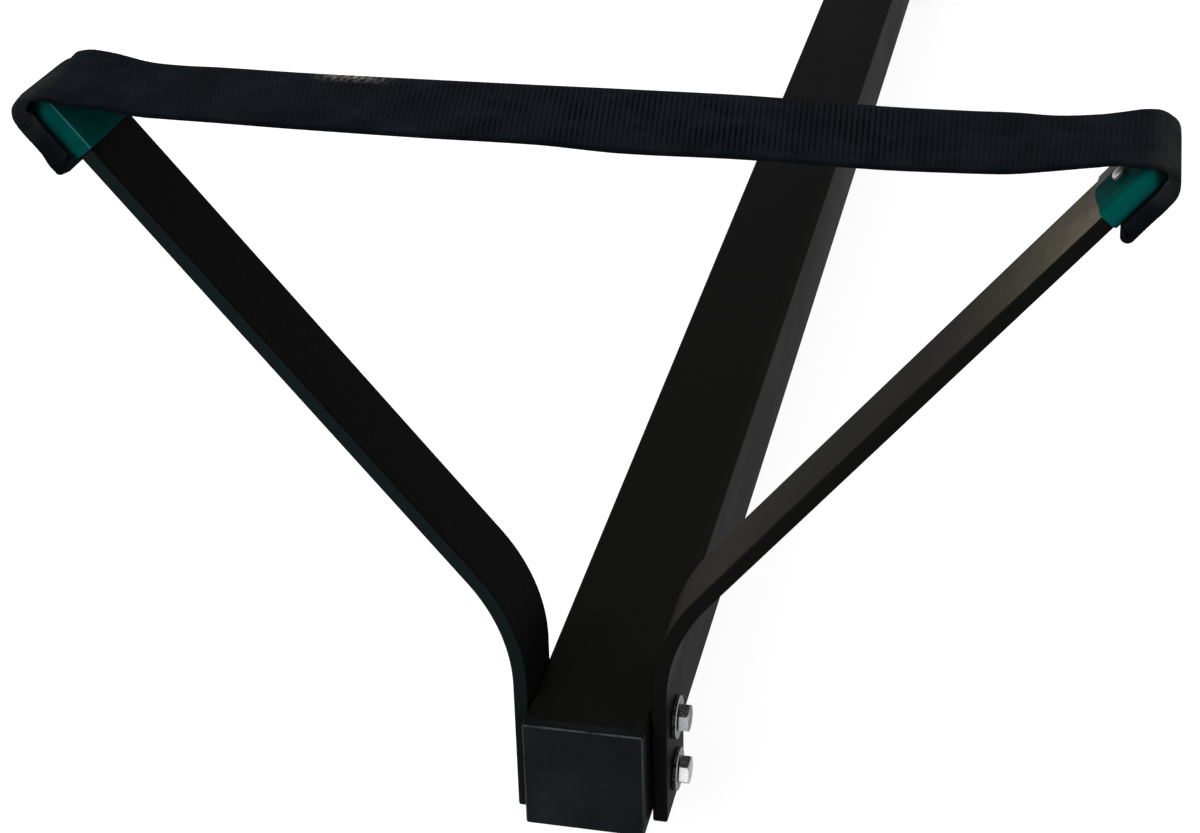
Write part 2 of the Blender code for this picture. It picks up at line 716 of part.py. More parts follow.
def make_rack():
    meshes = {
        "bolt": bolt_mesh(),
        "bolt_washer": washer_mesh(
            "flat_washer", WASHER_DIAMETER, BOLT_DIAMETER, WASHER_THICKNESS
        ),
        "rivet": rivet_mesh(),
        "rivet_washer": washer_mesh(
            "rivet_washer", RIVET_WASHER_DIAMETER, RIVET_DIAMETER, RIVET_WASHER_THICKNESS
        ),
    }
    clamp_shapes = {
        "u_bolt": u_bolt_curve(),
        "plate": clamp_plate_curve(),
        "flange_nut": flange_nut_mesh(),
    }
    beam = make_beam()
    for prefix, sign in ENDS.items():
        make_plug(prefix, sign)
        make_cradle(prefix, beam, meshes)
        make_clamp(prefix, clamp_shapes)


make_rack()
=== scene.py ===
"""Looks for a rowing shell's car rack: slings, bars, fasteners and stage, laid out as a Blender add-on.

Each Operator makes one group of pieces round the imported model, which is loaded first and never moved.
Lengths are in metres. Y runs along the beam with the near end at -Y, Z is up, and the origin is under the
beam's middle.
"""

import json
import math
import random

import bpy
from bpy.props import FloatProperty, FloatVectorProperty, IntProperty, PointerProperty
from mathutils import Matrix, Vector
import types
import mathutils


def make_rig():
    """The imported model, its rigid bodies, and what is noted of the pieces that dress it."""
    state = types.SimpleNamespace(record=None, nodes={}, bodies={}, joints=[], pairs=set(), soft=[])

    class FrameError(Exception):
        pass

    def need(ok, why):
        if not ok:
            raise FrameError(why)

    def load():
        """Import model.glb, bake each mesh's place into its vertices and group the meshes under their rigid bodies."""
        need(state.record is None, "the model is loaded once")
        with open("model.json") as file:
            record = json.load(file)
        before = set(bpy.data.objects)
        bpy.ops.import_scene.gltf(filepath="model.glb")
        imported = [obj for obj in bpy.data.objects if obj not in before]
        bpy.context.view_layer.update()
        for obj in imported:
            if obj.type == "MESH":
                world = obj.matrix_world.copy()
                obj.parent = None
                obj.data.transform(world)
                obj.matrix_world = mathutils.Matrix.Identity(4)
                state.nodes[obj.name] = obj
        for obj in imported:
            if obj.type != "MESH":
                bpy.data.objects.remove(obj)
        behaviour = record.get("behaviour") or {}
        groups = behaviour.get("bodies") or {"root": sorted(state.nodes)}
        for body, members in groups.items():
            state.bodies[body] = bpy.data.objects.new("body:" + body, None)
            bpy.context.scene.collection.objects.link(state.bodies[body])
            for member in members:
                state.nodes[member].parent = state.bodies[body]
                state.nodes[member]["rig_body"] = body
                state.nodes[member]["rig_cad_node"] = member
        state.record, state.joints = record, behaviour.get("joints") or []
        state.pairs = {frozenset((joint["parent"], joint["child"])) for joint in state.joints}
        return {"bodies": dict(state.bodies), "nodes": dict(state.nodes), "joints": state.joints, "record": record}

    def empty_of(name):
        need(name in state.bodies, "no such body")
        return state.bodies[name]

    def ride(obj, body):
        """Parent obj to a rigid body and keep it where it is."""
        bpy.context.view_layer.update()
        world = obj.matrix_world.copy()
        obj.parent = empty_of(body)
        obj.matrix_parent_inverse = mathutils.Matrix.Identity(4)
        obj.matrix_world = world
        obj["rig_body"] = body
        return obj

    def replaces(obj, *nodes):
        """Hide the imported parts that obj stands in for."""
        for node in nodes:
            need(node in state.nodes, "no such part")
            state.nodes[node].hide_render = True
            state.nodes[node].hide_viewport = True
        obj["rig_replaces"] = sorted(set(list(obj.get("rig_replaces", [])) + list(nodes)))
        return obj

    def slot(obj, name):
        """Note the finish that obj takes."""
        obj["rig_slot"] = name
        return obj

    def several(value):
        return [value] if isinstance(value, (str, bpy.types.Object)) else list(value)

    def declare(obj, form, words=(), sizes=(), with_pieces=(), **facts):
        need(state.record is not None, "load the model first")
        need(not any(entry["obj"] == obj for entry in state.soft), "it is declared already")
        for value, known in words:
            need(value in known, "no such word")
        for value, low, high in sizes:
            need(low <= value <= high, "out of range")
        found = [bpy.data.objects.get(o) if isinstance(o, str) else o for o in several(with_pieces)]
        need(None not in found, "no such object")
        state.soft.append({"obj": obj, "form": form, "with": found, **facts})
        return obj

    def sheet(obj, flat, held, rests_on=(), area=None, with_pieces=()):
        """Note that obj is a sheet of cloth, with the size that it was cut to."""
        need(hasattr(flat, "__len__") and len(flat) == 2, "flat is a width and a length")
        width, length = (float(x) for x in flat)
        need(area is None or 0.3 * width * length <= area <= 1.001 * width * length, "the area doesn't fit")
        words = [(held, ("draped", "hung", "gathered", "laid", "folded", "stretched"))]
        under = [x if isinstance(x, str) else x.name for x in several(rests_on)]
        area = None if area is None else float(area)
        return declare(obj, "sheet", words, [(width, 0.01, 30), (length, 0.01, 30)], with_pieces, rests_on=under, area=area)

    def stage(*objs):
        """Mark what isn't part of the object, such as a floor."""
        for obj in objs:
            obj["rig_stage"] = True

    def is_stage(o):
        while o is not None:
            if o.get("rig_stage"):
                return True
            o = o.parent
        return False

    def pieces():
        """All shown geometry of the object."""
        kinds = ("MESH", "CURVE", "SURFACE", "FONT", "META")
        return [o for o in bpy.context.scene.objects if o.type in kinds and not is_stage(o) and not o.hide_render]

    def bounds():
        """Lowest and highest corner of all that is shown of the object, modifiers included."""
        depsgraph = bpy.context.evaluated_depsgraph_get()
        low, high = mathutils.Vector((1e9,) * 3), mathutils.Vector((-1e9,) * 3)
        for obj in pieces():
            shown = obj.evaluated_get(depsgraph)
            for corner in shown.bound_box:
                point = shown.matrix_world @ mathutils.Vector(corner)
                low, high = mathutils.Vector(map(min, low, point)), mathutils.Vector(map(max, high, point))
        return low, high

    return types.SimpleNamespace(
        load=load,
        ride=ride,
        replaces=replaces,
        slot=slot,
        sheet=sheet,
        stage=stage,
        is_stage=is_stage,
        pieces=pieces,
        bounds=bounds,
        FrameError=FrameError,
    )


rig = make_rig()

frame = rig.load()
cad_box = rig.bounds()

bl_info = {
    "name": "Rowing Shell Car Rack",
    "version": (1, 0, 0),
    "blender": (4, 5, 0),
    "location": "3D View > Sidebar > Car Rack",
    "description": "Makes the slings, coated bars, sleeves and fasteners of a car rack for one rowing shell",
    "category": "Add Mesh",
}

ENDS = {"near": -1, "far": 1}
SIDES = {"left": -1, "right": 1}
TIPS = [(end, way, side, sign) for end, way in ENDS.items() for side, sign in SIDES.items()]

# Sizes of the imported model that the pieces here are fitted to
BEAM_SIZE = 0.0508
BEAM_END = 1.524
CRADLE_Y = 1.49615
ARM_WIDTH = 0.0381
ARM_THICKNESS = 0.00635
ARM_EDGE_RADIUS = 0.0011
ARM_FOOT_Z = -0.0025
ARM_BEND_Z = 0.0591
ARM_BEND_RADIUS = 0.0762
ARM_LEAN = math.radians(39.1)
ARM_STRAIGHT = 0.2515
ARM_STANDOFF = 0.0005
SEAT_GAP = 0.0003
HOLE_CLEARANCE = 0.0003
SLEEVE_WALL = 0.0007
SLEEVE_LENGTH = 0.0245
RIVET_FROM_TIP = 0.015
RIVET_DIAMETER = 0.0048
BOLT_DIAMETER = 0.00635
BOLT_PITCH = 0.027
CLAMP_Y = 0.28
U_BOLT_PITCH = 0.07
U_BOLT_ROD = 0.008
U_BOLT_HALF = 0.0306
U_BOLT_TOP_Z = 0.0551
U_BOLT_BEND = 0.007
U_BOLT_END_Z = -0.0432
NUT_SEAT_Z = -0.0341
CLAMP_PLATE_TOP = -0.029

# The slings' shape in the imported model, and their flaps' lengths on the left and on the right
WEB_THICKNESS = 0.0023
WEB_ARCH_OUT = 0.0009
WEB_CREST_RADIUS = 0.00678
WEB_CREST_EXTRA = 9.0
WEB_SHOULDER_DROP = 0.0078
WEB_SHOULDER_POWER = 1.85
WEB_SAG = 0.0045
FLAP_LENGTHS = {-1: 0.026, 1: 0.0248}
FLAP_TUCK_STOP = 0.002
FLAP_FOLD_GAP = 0.0008

# Places worked out from them
ARM_MIDDLE_X = BEAM_SIZE / 2 + ARM_STANDOFF + ARM_THICKNESS / 2
ARM_OUTER_X = ARM_MIDDLE_X + ARM_THICKNESS / 2
ARM_MIDDLE_BEND = ARM_BEND_RADIUS + ARM_THICKNESS / 2
ALONG_ARM = Vector((math.sin(ARM_LEAN), 0, math.cos(ARM_LEAN)))
OUT_OF_ARM = Vector((math.cos(ARM_LEAN), 0, -math.sin(ARM_LEAN)))
BEND_CORNER = Vector((ARM_MIDDLE_X, 0, ARM_BEND_Z + ARM_MIDDLE_BEND * math.tan(ARM_LEAN / 2)))
ARM_TIP = BEND_CORNER + ALONG_ARM * (ARM_MIDDLE_BEND * math.tan(ARM_LEAN / 2) + ARM_STRAIGHT)
BOLT_HEIGHTS = {"upper": BEAM_SIZE / 2 + BOLT_PITCH / 2, "lower": BEAM_SIZE / 2 - BOLT_PITCH / 2}
SLEEVE_STACK = SEAT_GAP + SLEEVE_WALL
SLEEVED_FACE = ARM_THICKNESS / 2 + SLEEVE_STACK
FLAP_FACE = SLEEVED_FACE + SEAT_GAP + 2 * WEB_THICKNESS + FLAP_FOLD_GAP
SIDEWAYS = Matrix.Rotation(math.pi / 2, 4, "Y")

# How a sling hangs, in millimetres and degrees: the place along it, how far its far edge and its near edge
# stand above the straight line, and the angle by which its ribs run ahead of square across it
SLING_SET = (
    (-213, -4.5, 1.5, 6), (-209, -3.6, 0.3, 8), (-204, -1.0, -0.9, 10), (-199, 0.7, -1.1, 12),
    (-195, 1.4, -0.9, 13), (-185, 1.4, -0.15, 15), (-172, 0.0, -0.65, 16), (-160, -0.1, -0.3, 16),
    (-145, 0.2, -0.2, 15), (-110, -0.09, -0.65, 13), (-60, 0.24, -0.91, 10.5), (-15, 0.67, -0.77, 9),
    (15, 1.06, -2.03, 8.3), (60, 1.3, -1.37, 6.5), (110, 0.21, -1.87, 4.5), (140, 0.48, -1.22, 3),
    (155, 0.81, -0.57, 1.5), (170, -0.03, 0.93, 0.5), (185, 0.19, 2.08, 0), (192, 0.7, 2.2, 0),
    (200, 1.25, 0.6, 0), (210, -0.03, 0, 0),
)

# How far a flap's outer face stands out beyond a flat one on the left and on the right, at heights above the
# arm's end, in millimetres
FLAP_SET = {
    -1: (
        (-26, 2.3), (-19, 2.3), (-17, 1.75), (-14.8, 1.3), (-12, 1.25), (-9, 1.25),
        (-5, 1.3), (-2.6, 1.2), (0.9, 1.45), (4.4, 1.3), (6.5, 0.8), (8, 0.2),
    ),
    1: ((-26, 0.0), (-21, -0.1), (-16, -0.2), (-11, -0.2), (-8, -0.1), (-3, -0.3), (0, -0.35), (8, -0.1)),
}

# On the left and on the right: how far a flap's edges roll over the tucked layer, and how much fuller its
# bend is at its middle and per metre towards the far edge
FLAP_ROLL = {-1: 0.0051, 1: 0.0042}
BEND_FULLNESS = {-1: (0.0015, -0.01), 1: (0.0004, 0.0)}
BEND_HALF_WIDTH = 0.0275
TUCK_DRAWN_IN = 0.17
SHOULDER_STEPS = 32

# Where the flaps' shapes fade in, each as the place where nothing of it shows and the place where all does.
# Heights are from the arm's end, outs from the arm's middle and edges from the webbing's middle
SPAN_OUT = (0.006, -0.002)
ROLL_EDGE = (0.0206, 0.0236)
ROLL_HEIGHT = (0.0055, -0.0005)
BEND_OUT = (0.0005, 0.0035)
BEND_HEIGHT = (-0.003, 0.0)
PUSH_OUT_ABOVE = (0.003, 0.006)
PUSH_OUT_BELOW = (0.0084, 0.0094)
PUSH_TOP = 0.0078
FLAP_TOP = 0.009
FOLD_FADE = 0.0025
ROLL_GROWS_FROM = -0.008
ROLL_GROWTH = 0.05
RIVET_HOLD = 0.0115

# Points closer than this are the same point
WELD = 0.000002

# How steep a thread's flanks are beside its flat crest, and the millimetres in a metre
THREAD_FLANK = 1.3
MM = 1000


def ramp(value, none, full):
    """How far a value has got from the place that counts 0 to the place that counts 1."""
    return min(max((value - none) / (full - none), 0.0), 1.0)


def arithmetic(operation, turned=False):
    """A method of Field that adds one maths node. A turned one has the field as its second value."""

    def method(self, other):
        return self.wiring.maths(operation, *((other, self) if turned else (self, other)))

    return method


class Field:
    """A node's output. Arithmetic on it adds the nodes for it, and [] picks another output of the node."""

    __add__ = arithmetic("ADD")
    __sub__ = arithmetic("SUBTRACT")
    __rsub__ = arithmetic("SUBTRACT", turned=True)
    __mul__ = arithmetic("MULTIPLY")
    __truediv__ = arithmetic("DIVIDE")
    __mod__ = arithmetic("MODULO")
    __pow__ = arithmetic("POWER")

    def __init__(self, wiring, socket):
        self.wiring = wiring
        self.socket = socket

    def __getitem__(self, name):
        return Field(self.wiring, self.socket.node.outputs[name])

    def __abs__(self):
        return self.wiring.maths("ABSOLUTE", self)

    def __round__(self):
        return self.wiring.maths("ROUND", self)

    def within(self, low=0.0, high=1.0):
        """The value kept from low to high."""
        return self.wiring.add("ShaderNodeClamp", (self, low, high))

    def spread(self, low, high, to_low=0.0, to_high=1.0, kind="LINEAR"):
        """The value from low to high turned into to_low to to_high, and kept between them."""
        values = (self, low, high, to_low, to_high)
        return self.wiring.add("ShaderNodeMapRange", values, interpolation_type=kind)


class Wiring:
    """A node tree being filled in."""

    def __init__(self, tree):
        self.tree = tree

    def feed(self, socket, value):
        if isinstance(value, Field):
            self.tree.links.new(value.socket, socket)
        else:
            socket.default_value = value

    def add(self, kind, inputs=(), **settings):
        """Adds a node and gives its first output. Its inputs are a dictionary by name, or a list in order."""
        node = self.tree.nodes.new(kind)
        for name, value in settings.items():
            setattr(node, name, value)
        for key, value in inputs.items() if isinstance(inputs, dict) else enumerate(inputs):
            self.feed(node.inputs[key], value)
        return Field(self, node.outputs[0]) if node.outputs else None

    def maths(self, operation, *values):
        return self.add("ShaderNodeMath", values, operation=operation)

    def vectors(self, operation, *values):
        return self.add("ShaderNodeVectorMath", values, operation=operation)

    def split(self, vector):
        return self.add("ShaderNodeSeparateXYZ", (vector,))

    def spot(self):
        """The place on the piece's own surface, in a material."""
        return self.add("ShaderNodeTexCoord")["Object"]

    def noise(self, scale, detail=3.0, roughness=0.5, at=None):
        inputs = {"Vector": at or self.spot(), "Scale": scale, "Detail": detail, "Roughness": roughness}
        return self.add("ShaderNodeTexNoise", inputs)

    def seen_by(self, *rays):
        """1 for the kinds of ray that are named, in a material or the surroundings."""
        path = self.add("ShaderNodeLightPath")
        seen = path[rays[0]]
        for ray in rays[1:]:
            seen = self.maths("MAXIMUM", seen, path[ray])
        return seen


class Paint(Wiring):
    """A new material. Its colour is laid on in layers, and done() gives the shader all that it needs."""

    def __init__(self, name, colour):
        self.material = bpy.data.materials.new(name)
        self.material.use_nodes = True
        super().__init__(self.material.node_tree)
        self.shader = self.tree.nodes["Principled BSDF"].inputs
        self.colour = colour

    def normal(self):
        return self.add("ShaderNodeNewGeometry")["Normal"]

    def mark(self, name):
        """What the mesh stores under a name."""
        return self.add("ShaderNodeAttribute", attribute_name=name)["Fac"]

    def stretched(self, vector, scale):
        return self.add("ShaderNodeMapping", {"Vector": vector, "Scale": scale})

    def bump(self, height, depth, **under):
        return self.add("ShaderNodeBump", {"Height": height, "Distance": depth, **under})

    def opaque(self, colour):
        return colour if isinstance(colour, Field) else (*colour, 1.0)

    def mixed(self, share, first, second):
        inputs = {0: share, 6: self.opaque(first), 7: self.opaque(second)}
        return self.add("ShaderNodeMix", inputs, data_type="RGBA")[2]

    def layer(self, share, colour):
        """Lays a colour over the ones so far."""
        self.colour = self.mixed(share, self.colour, colour)

    def worn_edges(self, width, spots):
        """1 where a corner has been rubbed, 0 on open faces. Noise breaks the line up."""
        rounded = self.add("ShaderNodeBevel", {"Radius": width}, samples=4)
        turn = self.vectors("DOT_PRODUCT", rounded, self.normal())["Value"]
        return turn.spread(0.985, 0.86) * self.noise(spots).spread(0.42, 0.62)

    def done(self, roughness, gloss, relief=None):
        """The gloss is one number for the whole surface."""
        self.feed(self.shader["Base Color"], self.opaque(self.colour))
        self.feed(self.shader["Roughness"], roughness)
        self.shader["Specular IOR Level"].default_value = gloss
        if relief:
            self.feed(self.shader["Normal"], relief)
        return self.material


def shifted(colour, factor, added=0.0):
    return [value * factor + added for value in colour]


def powder_coat(name, finish):
    """Satin black powder coat: a fine orange peel, faint mottling and corners rubbed a little paler, with painted
    light:
    faces turned along the beam painted paler, a painted warm reflection on the right arms' upward faces, strongest
    close to the tips, upward faces painted paler near the beam's ends, and painted shade towards its middle."""
    coat = finish.coat_colour
    paint = Paint(name, coat)
    place, facing = paint.split(paint.spot()), paint.split(paint.normal())
    right, from_middle = place["X"], abs(place["Y"])
    cloudy = paint.noise(9.0, 4.0, 0.6, paint.stretched(paint.spot(), (1.0, 0.35, 1.0)))
    paint.layer(cloudy.spread(0.35, 0.75, 0.0, 0.35), shifted(coat, 2.6, 0.002))
    paint.layer(paint.noise(330.0, 3.0, 0.7).spread(0.3, 0.7, 0.0, 0.4), shifted(coat, 2.2, 0.0012))
    dust = paint.noise(420.0, 2.0).spread(0.62, 0.74)
    paint.layer(dust * 0.05, (0.05, 0.048, 0.044))
    paint.layer(paint.worn_edges(0.0012, 240.0) * 0.3, (0.045, 0.044, 0.042))
    # Painted light: faces turned along the beam are painted paler than the coat, teal-tinted on the left arms and
    # darker and neutral on the right, for how light falls on them.
    lit_edge = paint.mixed(right.spread(-0.05, 0.03), finish.lit_edge_colour, (0.0064, 0.0062, 0.006))
    paint.layer(abs(facing["Y"]).spread(0.55, 0.85, 0.0, 0.85), lit_edge)
    # Painted reflection: a warm sheen on upward faces right of the beam's middle, strongest towards the right arms'
    # tips and faint near the beam's right edge and the arms' feet, mottled by noise.
    strong_sheen = right.spread(0.06, 0.2) ** 5.2
    faint_sheen = right.spread(0.02, 0.05, 0.0, 0.06) * right.spread(0.055, 0.075, 1.0, 0.3)
    painted_sheen = paint.maths("MAXIMUM", strong_sheen, faint_sheen) * facing["Z"].spread(0.3, 0.5)
    paint.layer(painted_sheen * paint.noise(170.0, 5.0, 0.7).spread(0.25, 0.75, 0.55, 1.0), finish.sheen_colour)
    # Painted light: upward faces are painted paler towards the beam's ends.
    lit_near_ends = from_middle.spread(0.9, 1.5, 0.0, 0.35) * facing["Z"].spread(0.9, 1.0)
    paint.layer(lit_near_ends, (0.0085, 0.0082, 0.0068))
    # Painted shade: the coat is painted nearly black towards the middle of the beam's length.
    paint.layer(from_middle.spread(0.65, 1.35, 0.85, 0.0), (0.0006, 0.0006, 0.0006))
    rough = cloudy.spread(0.3, 0.7, finish.coat_roughness - 0.05, finish.coat_roughness + 0.06)
    peel = paint.bump(paint.noise(850.0, 2.0, 0.55), 0.00006)
    relief = paint.bump(paint.noise(3600.0, 1.0), 0.000012, Normal=peel)
    return paint.done(rough, finish.coat_gloss, relief)


def moulded_plastic(name, finish):
    """Charcoal plastic with a spark-eroded grain, a few scuffs, painted shade on its upward faces, and a paler line
    along its outer edges that is partly rubbed wear and partly a painted highlight.
    """
    plastic = finish.plastic_colour
    paint = Paint(name, plastic)
    place, facing = paint.split(paint.spot()), paint.split(paint.normal())
    cloudy = paint.noise(26.0, 5.0, 0.62)
    paint.layer(cloudy.spread(0.4, 0.72, 0.0, 0.55), shifted(plastic, 1.9, 0.004))
    scratch = paint.noise(260.0, 2.0, 0.5, paint.stretched(paint.spot(), (1.0, 1.0, 0.06)))
    paint.layer(scratch.spread(0.63, 0.72) * 0.06, (0.05, 0.054, 0.06))
    # Painted shade: upward faces are painted darker.
    paint.layer(facing["Z"].spread(0.75, 0.95, 0.0, 0.6), (0.0015, 0.002, 0.003))
    # A paler line along the outer rounded edges of the plug's face: partly rubbed wear, partly a painted highlight.
    sideways = paint.maths("MAXIMUM", abs(facing["X"]), abs(facing["Z"]))
    edge = facing["Y"] * paint.maths("SIGN", place["Y"]) * sideways
    wear_and_highlight = edge.spread(0.3, 0.45) * paint.noise(150.0).spread(0.3, 0.5)
    paint.layer(wear_and_highlight * 0.8, (0.06, 0.068, 0.075))
    relief = paint.bump(paint.noise(2400.0, 2.0), 0.00003)
    return paint.done(cloudy.spread(0.3, 0.7, 0.52, 0.66), finish.plastic_gloss, relief)


def dipped_vinyl(name, finish):
    """Teal vinyl: a skin a little uneven in depth and colour. Painted light: the right ones painted paler, a painted
    highlight in the left ones' creases, painted shade in the outer tip corners and a painted highlight on the right
    ones' inner face."""
    vinyl = finish.vinyl_colour
    paint = Paint(name, vinyl)
    place, facing = paint.split(paint.spot()), paint.split(paint.normal())
    right = place["X"]
    cloudy = paint.noise(120.0, 4.0, 0.6)
    paint.layer(cloudy.spread(0.35, 0.7), shifted(vinyl, 0.72))
    # Painted light: the right sleeves are painted paler than the left, as lit copies of one vinyl.
    paint.layer(right.spread(-0.05, 0.05, 0.0, 0.8), shifted(vinyl, 1.3))
    paint.layer(paint.noise(1500.0, 1.0).spread(0.66, 0.75) * 0.35, (0.01, 0.03, 0.028))
    # Painted highlight: a pale line along the left sleeves' rounded front corners and their cut lip.
    front = facing["Y"] * -1.0
    rounded = front.spread(0.4, 0.55) * front.spread(0.95, 0.85) * facing["X"].spread(0.05, 0.2)
    lip = paint.vectors("DOT_PRODUCT", paint.normal(), (ALONG_ARM.x, 0.0, -ALONG_ARM.z))["Value"]
    crease_highlight = paint.maths("MAXIMUM", rounded, lip.spread(0.3, 0.6)) * right.spread(0.0, -0.05)
    paint.layer(crease_highlight * 0.8, (0.035, 0.16, 0.165))
    # Painted shade: the vinyl is painted near black in the outer corner of each tip, where the webbing's fold shades
    # it.
    corner = ALONG_ARM + 0.88 * OUT_OF_ARM
    past_corner = abs(right) * corner.x + (place["Z"] * corner.z - corner.dot(ARM_TIP))
    paint.layer(past_corner.spread(-0.0026, 0.0004, 0.0, 0.9), (0.0012, 0.008, 0.009))
    # Painted highlight: a pale band on the right sleeves' upward faces along their edge towards the beam's middle.
    rim_highlight = abs(place["Y"]).spread(1.4885, 1.486) * right.spread(0.0, 0.05, 0.0, 0.85)
    paint.layer(rim_highlight * facing["Z"].spread(0.3, 0.5), (0.34, 0.35, 0.33))
    relief = paint.bump(paint.noise(520.0, 2.0), 0.00006)
    return paint.done(cloudy.spread(0.3, 0.7, 0.34, 0.5), finish.vinyl_gloss, relief)


def woven_webbing(name, finish):
    """Black webbing. The yarns follow the strap's own map: U along it and V round it, in metres. Painted shade
    darkens the grooves between the ribs and the rounded edges, and the bends are painted paler, partly for
    scuffing and partly as a painted highlight.
    """
    strap = bpy.context.scene.rack_webbing
    paint = Paint(name, finish.webbing_colour)
    painted_shade_colour = shifted(finish.webbing_colour, 0.05)
    weave = paint.add("ShaderNodeUVMap", uv_map="weave")
    rib = paint.split(weave)["X"] * (1.0 / strap.rib_pitch)
    half_step = paint.maths("FLOOR", rib) % 2.0 * 0.5
    yarn = paint.split(weave)["Y"] * (1.0 / strap.yarn_pitch) + half_step
    rib_face, yarn_face = (abs(paint.maths("SINE", turns * math.pi)) for turns in (rib, yarn))
    crest = rib_face**0.8 * yarn_face**0.5
    selvage, edge, fuzz, scuff = (paint.mark(mark) for mark in ("selvage", "edge", "fuzz", "scuff"))
    right = paint.split(paint.spot())["X"]
    # Painted shade: the grooves between the ribs are painted darker, fully across the middle of the span, barely on
    # the left and a quarter as much on the right, and less at the selvages.
    clear = paint.noise(48.0, 3.0, 0.6).spread(0.36, 0.6, 0.55, 1.0) * selvage.spread(0.0, 1.0, 1.0, 0.2)
    clear = clear * right.spread(-0.12, 0.0, 0.05, 1.0) * right.spread(0.1, 0.15, 1.0, 0.25)
    middle_shade = 0.52
    paint.layer((crest.spread(0.35, 0.9, 1.0, 0.0) - middle_shade) * clear + middle_shade, painted_shade_colour)
    patchy = paint.noise(60.0, 4.0, 0.65)
    paint.layer(patchy.spread(0.42, 0.72, 0.0, 0.35), shifted(finish.webbing_colour, 1.5, 0.003))
    # Paler at the bends over the tips: partly scuffed yarn, partly a painted highlight.
    paint.layer(scuff * patchy.spread(0.3, 0.6) * 0.26, (0.075, 0.072, 0.064))
    # Painted shade along the webbing's rounded edges.
    paint.layer(edge.spread(0.2, 0.9) * 0.5, painted_shade_colour)
    slanted = paint.add("ShaderNodeMapping", {"Vector": weave, "Rotation": (0.0, 0.0, 1.15)})
    strands = paint.noise(1.0, 2.0, 0.6, paint.stretched(slanted, (220.0, 1000.0, 1.0)))
    paint.layer(fuzz * strands.spread(0.47, 0.55), (0.42, 0.39, 0.36))
    fibres = paint.bump(paint.noise(1.0, 2.0, 0.6, paint.stretched(weave, (1800.0, 9000.0, 1.0))), 0.00005)
    relief = paint.bump(crest, 0.00012, Normal=fibres)
    return paint.done(crest.spread(0.0, 1.0, 0.95, 0.8), finish.webbing_gloss, relief)


def zinc_plate(name, finish):
    """Bright zinc plating: bluish and straw patches and fine wear. Painted shade goes where the mesh's mark asks for
    it, and a mark below 0 paints a highlight instead."""
    paint = Paint(name, finish.zinc_colour)
    paint.layer(paint.noise(160.0, 4.0, 0.6).spread(0.5, 0.75, 0.0, 0.6), (0.4, 0.37, 0.3))
    paint.layer(paint.noise(90.0, 3.0).spread(0.5, 0.75, 0.0, 0.5), (0.3, 0.33, 0.37))
    dull = paint.noise(700.0, 3.0, 0.6).spread(0.5, 0.72)
    paint.layer(dull * 0.35, (0.15, 0.15, 0.15))
    # Painted light: the mesh's mark paints shade, near black with less metal, and below 0 paints a near-white
    # highlight.
    grime = paint.mark("grime") * paint.noise(900.0).spread(0.3, 0.6, 0.8, 1.0)
    paint.layer(grime, (0.006, 0.006, 0.005))
    paint.layer(grime.spread(0.0, -1.0), (0.95, 0.95, 0.95))
    paint.feed(paint.shader["Metallic"], grime.spread(0.0, 0.6, 1.0, 0.0))
    paint.shader["Specular Tint"].default_value = (0.3, 0.3, 0.3, 1.0)
    return paint.done(dull.spread(0.0, 1.0, 0.3, 0.44), 0.05, paint.bump(paint.noise(1300.0, 2.0), 0.000002))


def bright_aluminium(name, finish):
    """Bright aluminium of a set rivet, with small dents."""
    paint = Paint(name, finish.rivet_colour)
    cloudy = paint.noise(420.0, 3.0, 0.6)
    paint.layer(cloudy.spread(0.45, 0.75, 0.0, 0.4), (0.75, 0.75, 0.74))
    paint.shader["Metallic"].default_value = 0.5
    return paint.done(cloudy.spread(0.3, 0.7, 0.5, 0.6), 0.5, paint.bump(paint.noise(1500.0, 2.0), 0.00001))


FINISHES = {
    "black_powder_coat": powder_coat,
    "charcoal_plastic": moulded_plastic,
    "teal_vinyl": dipped_vinyl,
    "black_webbing": woven_webbing,
    "zinc_plate": zinc_plate,
    "bright_rivet": bright_aluminium,
}


def finish_of(slot):
    """The material of one of the record's slots, made when it is first asked for."""
    name = "finish " + slot
    return bpy.data.materials.get(name) or FINISHES[slot](name, bpy.context.scene.rack_finish)


def show(mesh):
    """A new object in the scene, under its mesh's name."""
    piece = bpy.data.objects.new(mesh.name, mesh)
    bpy.context.scene.collection.objects.link(piece)
    return piece


def settle(piece, slot, node):
    """Gives a finished piece its slot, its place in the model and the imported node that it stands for."""
    if not piece.data.materials:
        piece.data.materials.append(finish_of(slot))
    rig.ride(piece, "root")
    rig.slot(piece, slot)
    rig.replaces(piece, node)
    return piece


def modify(piece, kind, **settings):
    modifier = piece.modifiers.new(kind.lower(), kind)
    for name, value in settings.items():
        setattr(modifier, name, value)


def work_in(piece):
    """Works a piece's modifiers into its mesh."""
    graph = bpy.context.evaluated_depsgraph_get()
    mesh = bpy.data.meshes.new_from_object(piece.evaluated_get(graph))
    piece.modifiers.clear()
    piece.data = mesh
    return mesh


def shaded(mesh, angle):
    """Smooth faces, with an edge kept sharp where the surface turns more than the angle in degrees."""
    mesh.shade_smooth()
    mesh.set_sharp_from_angle(angle=math.radians(angle))
    return mesh


def new_mesh(name, verts, edges=(), faces=()):
    mesh = bpy.data.meshes.new(name)
    mesh.from_pydata(verts, edges, faces)
    mesh.update()
    return mesh


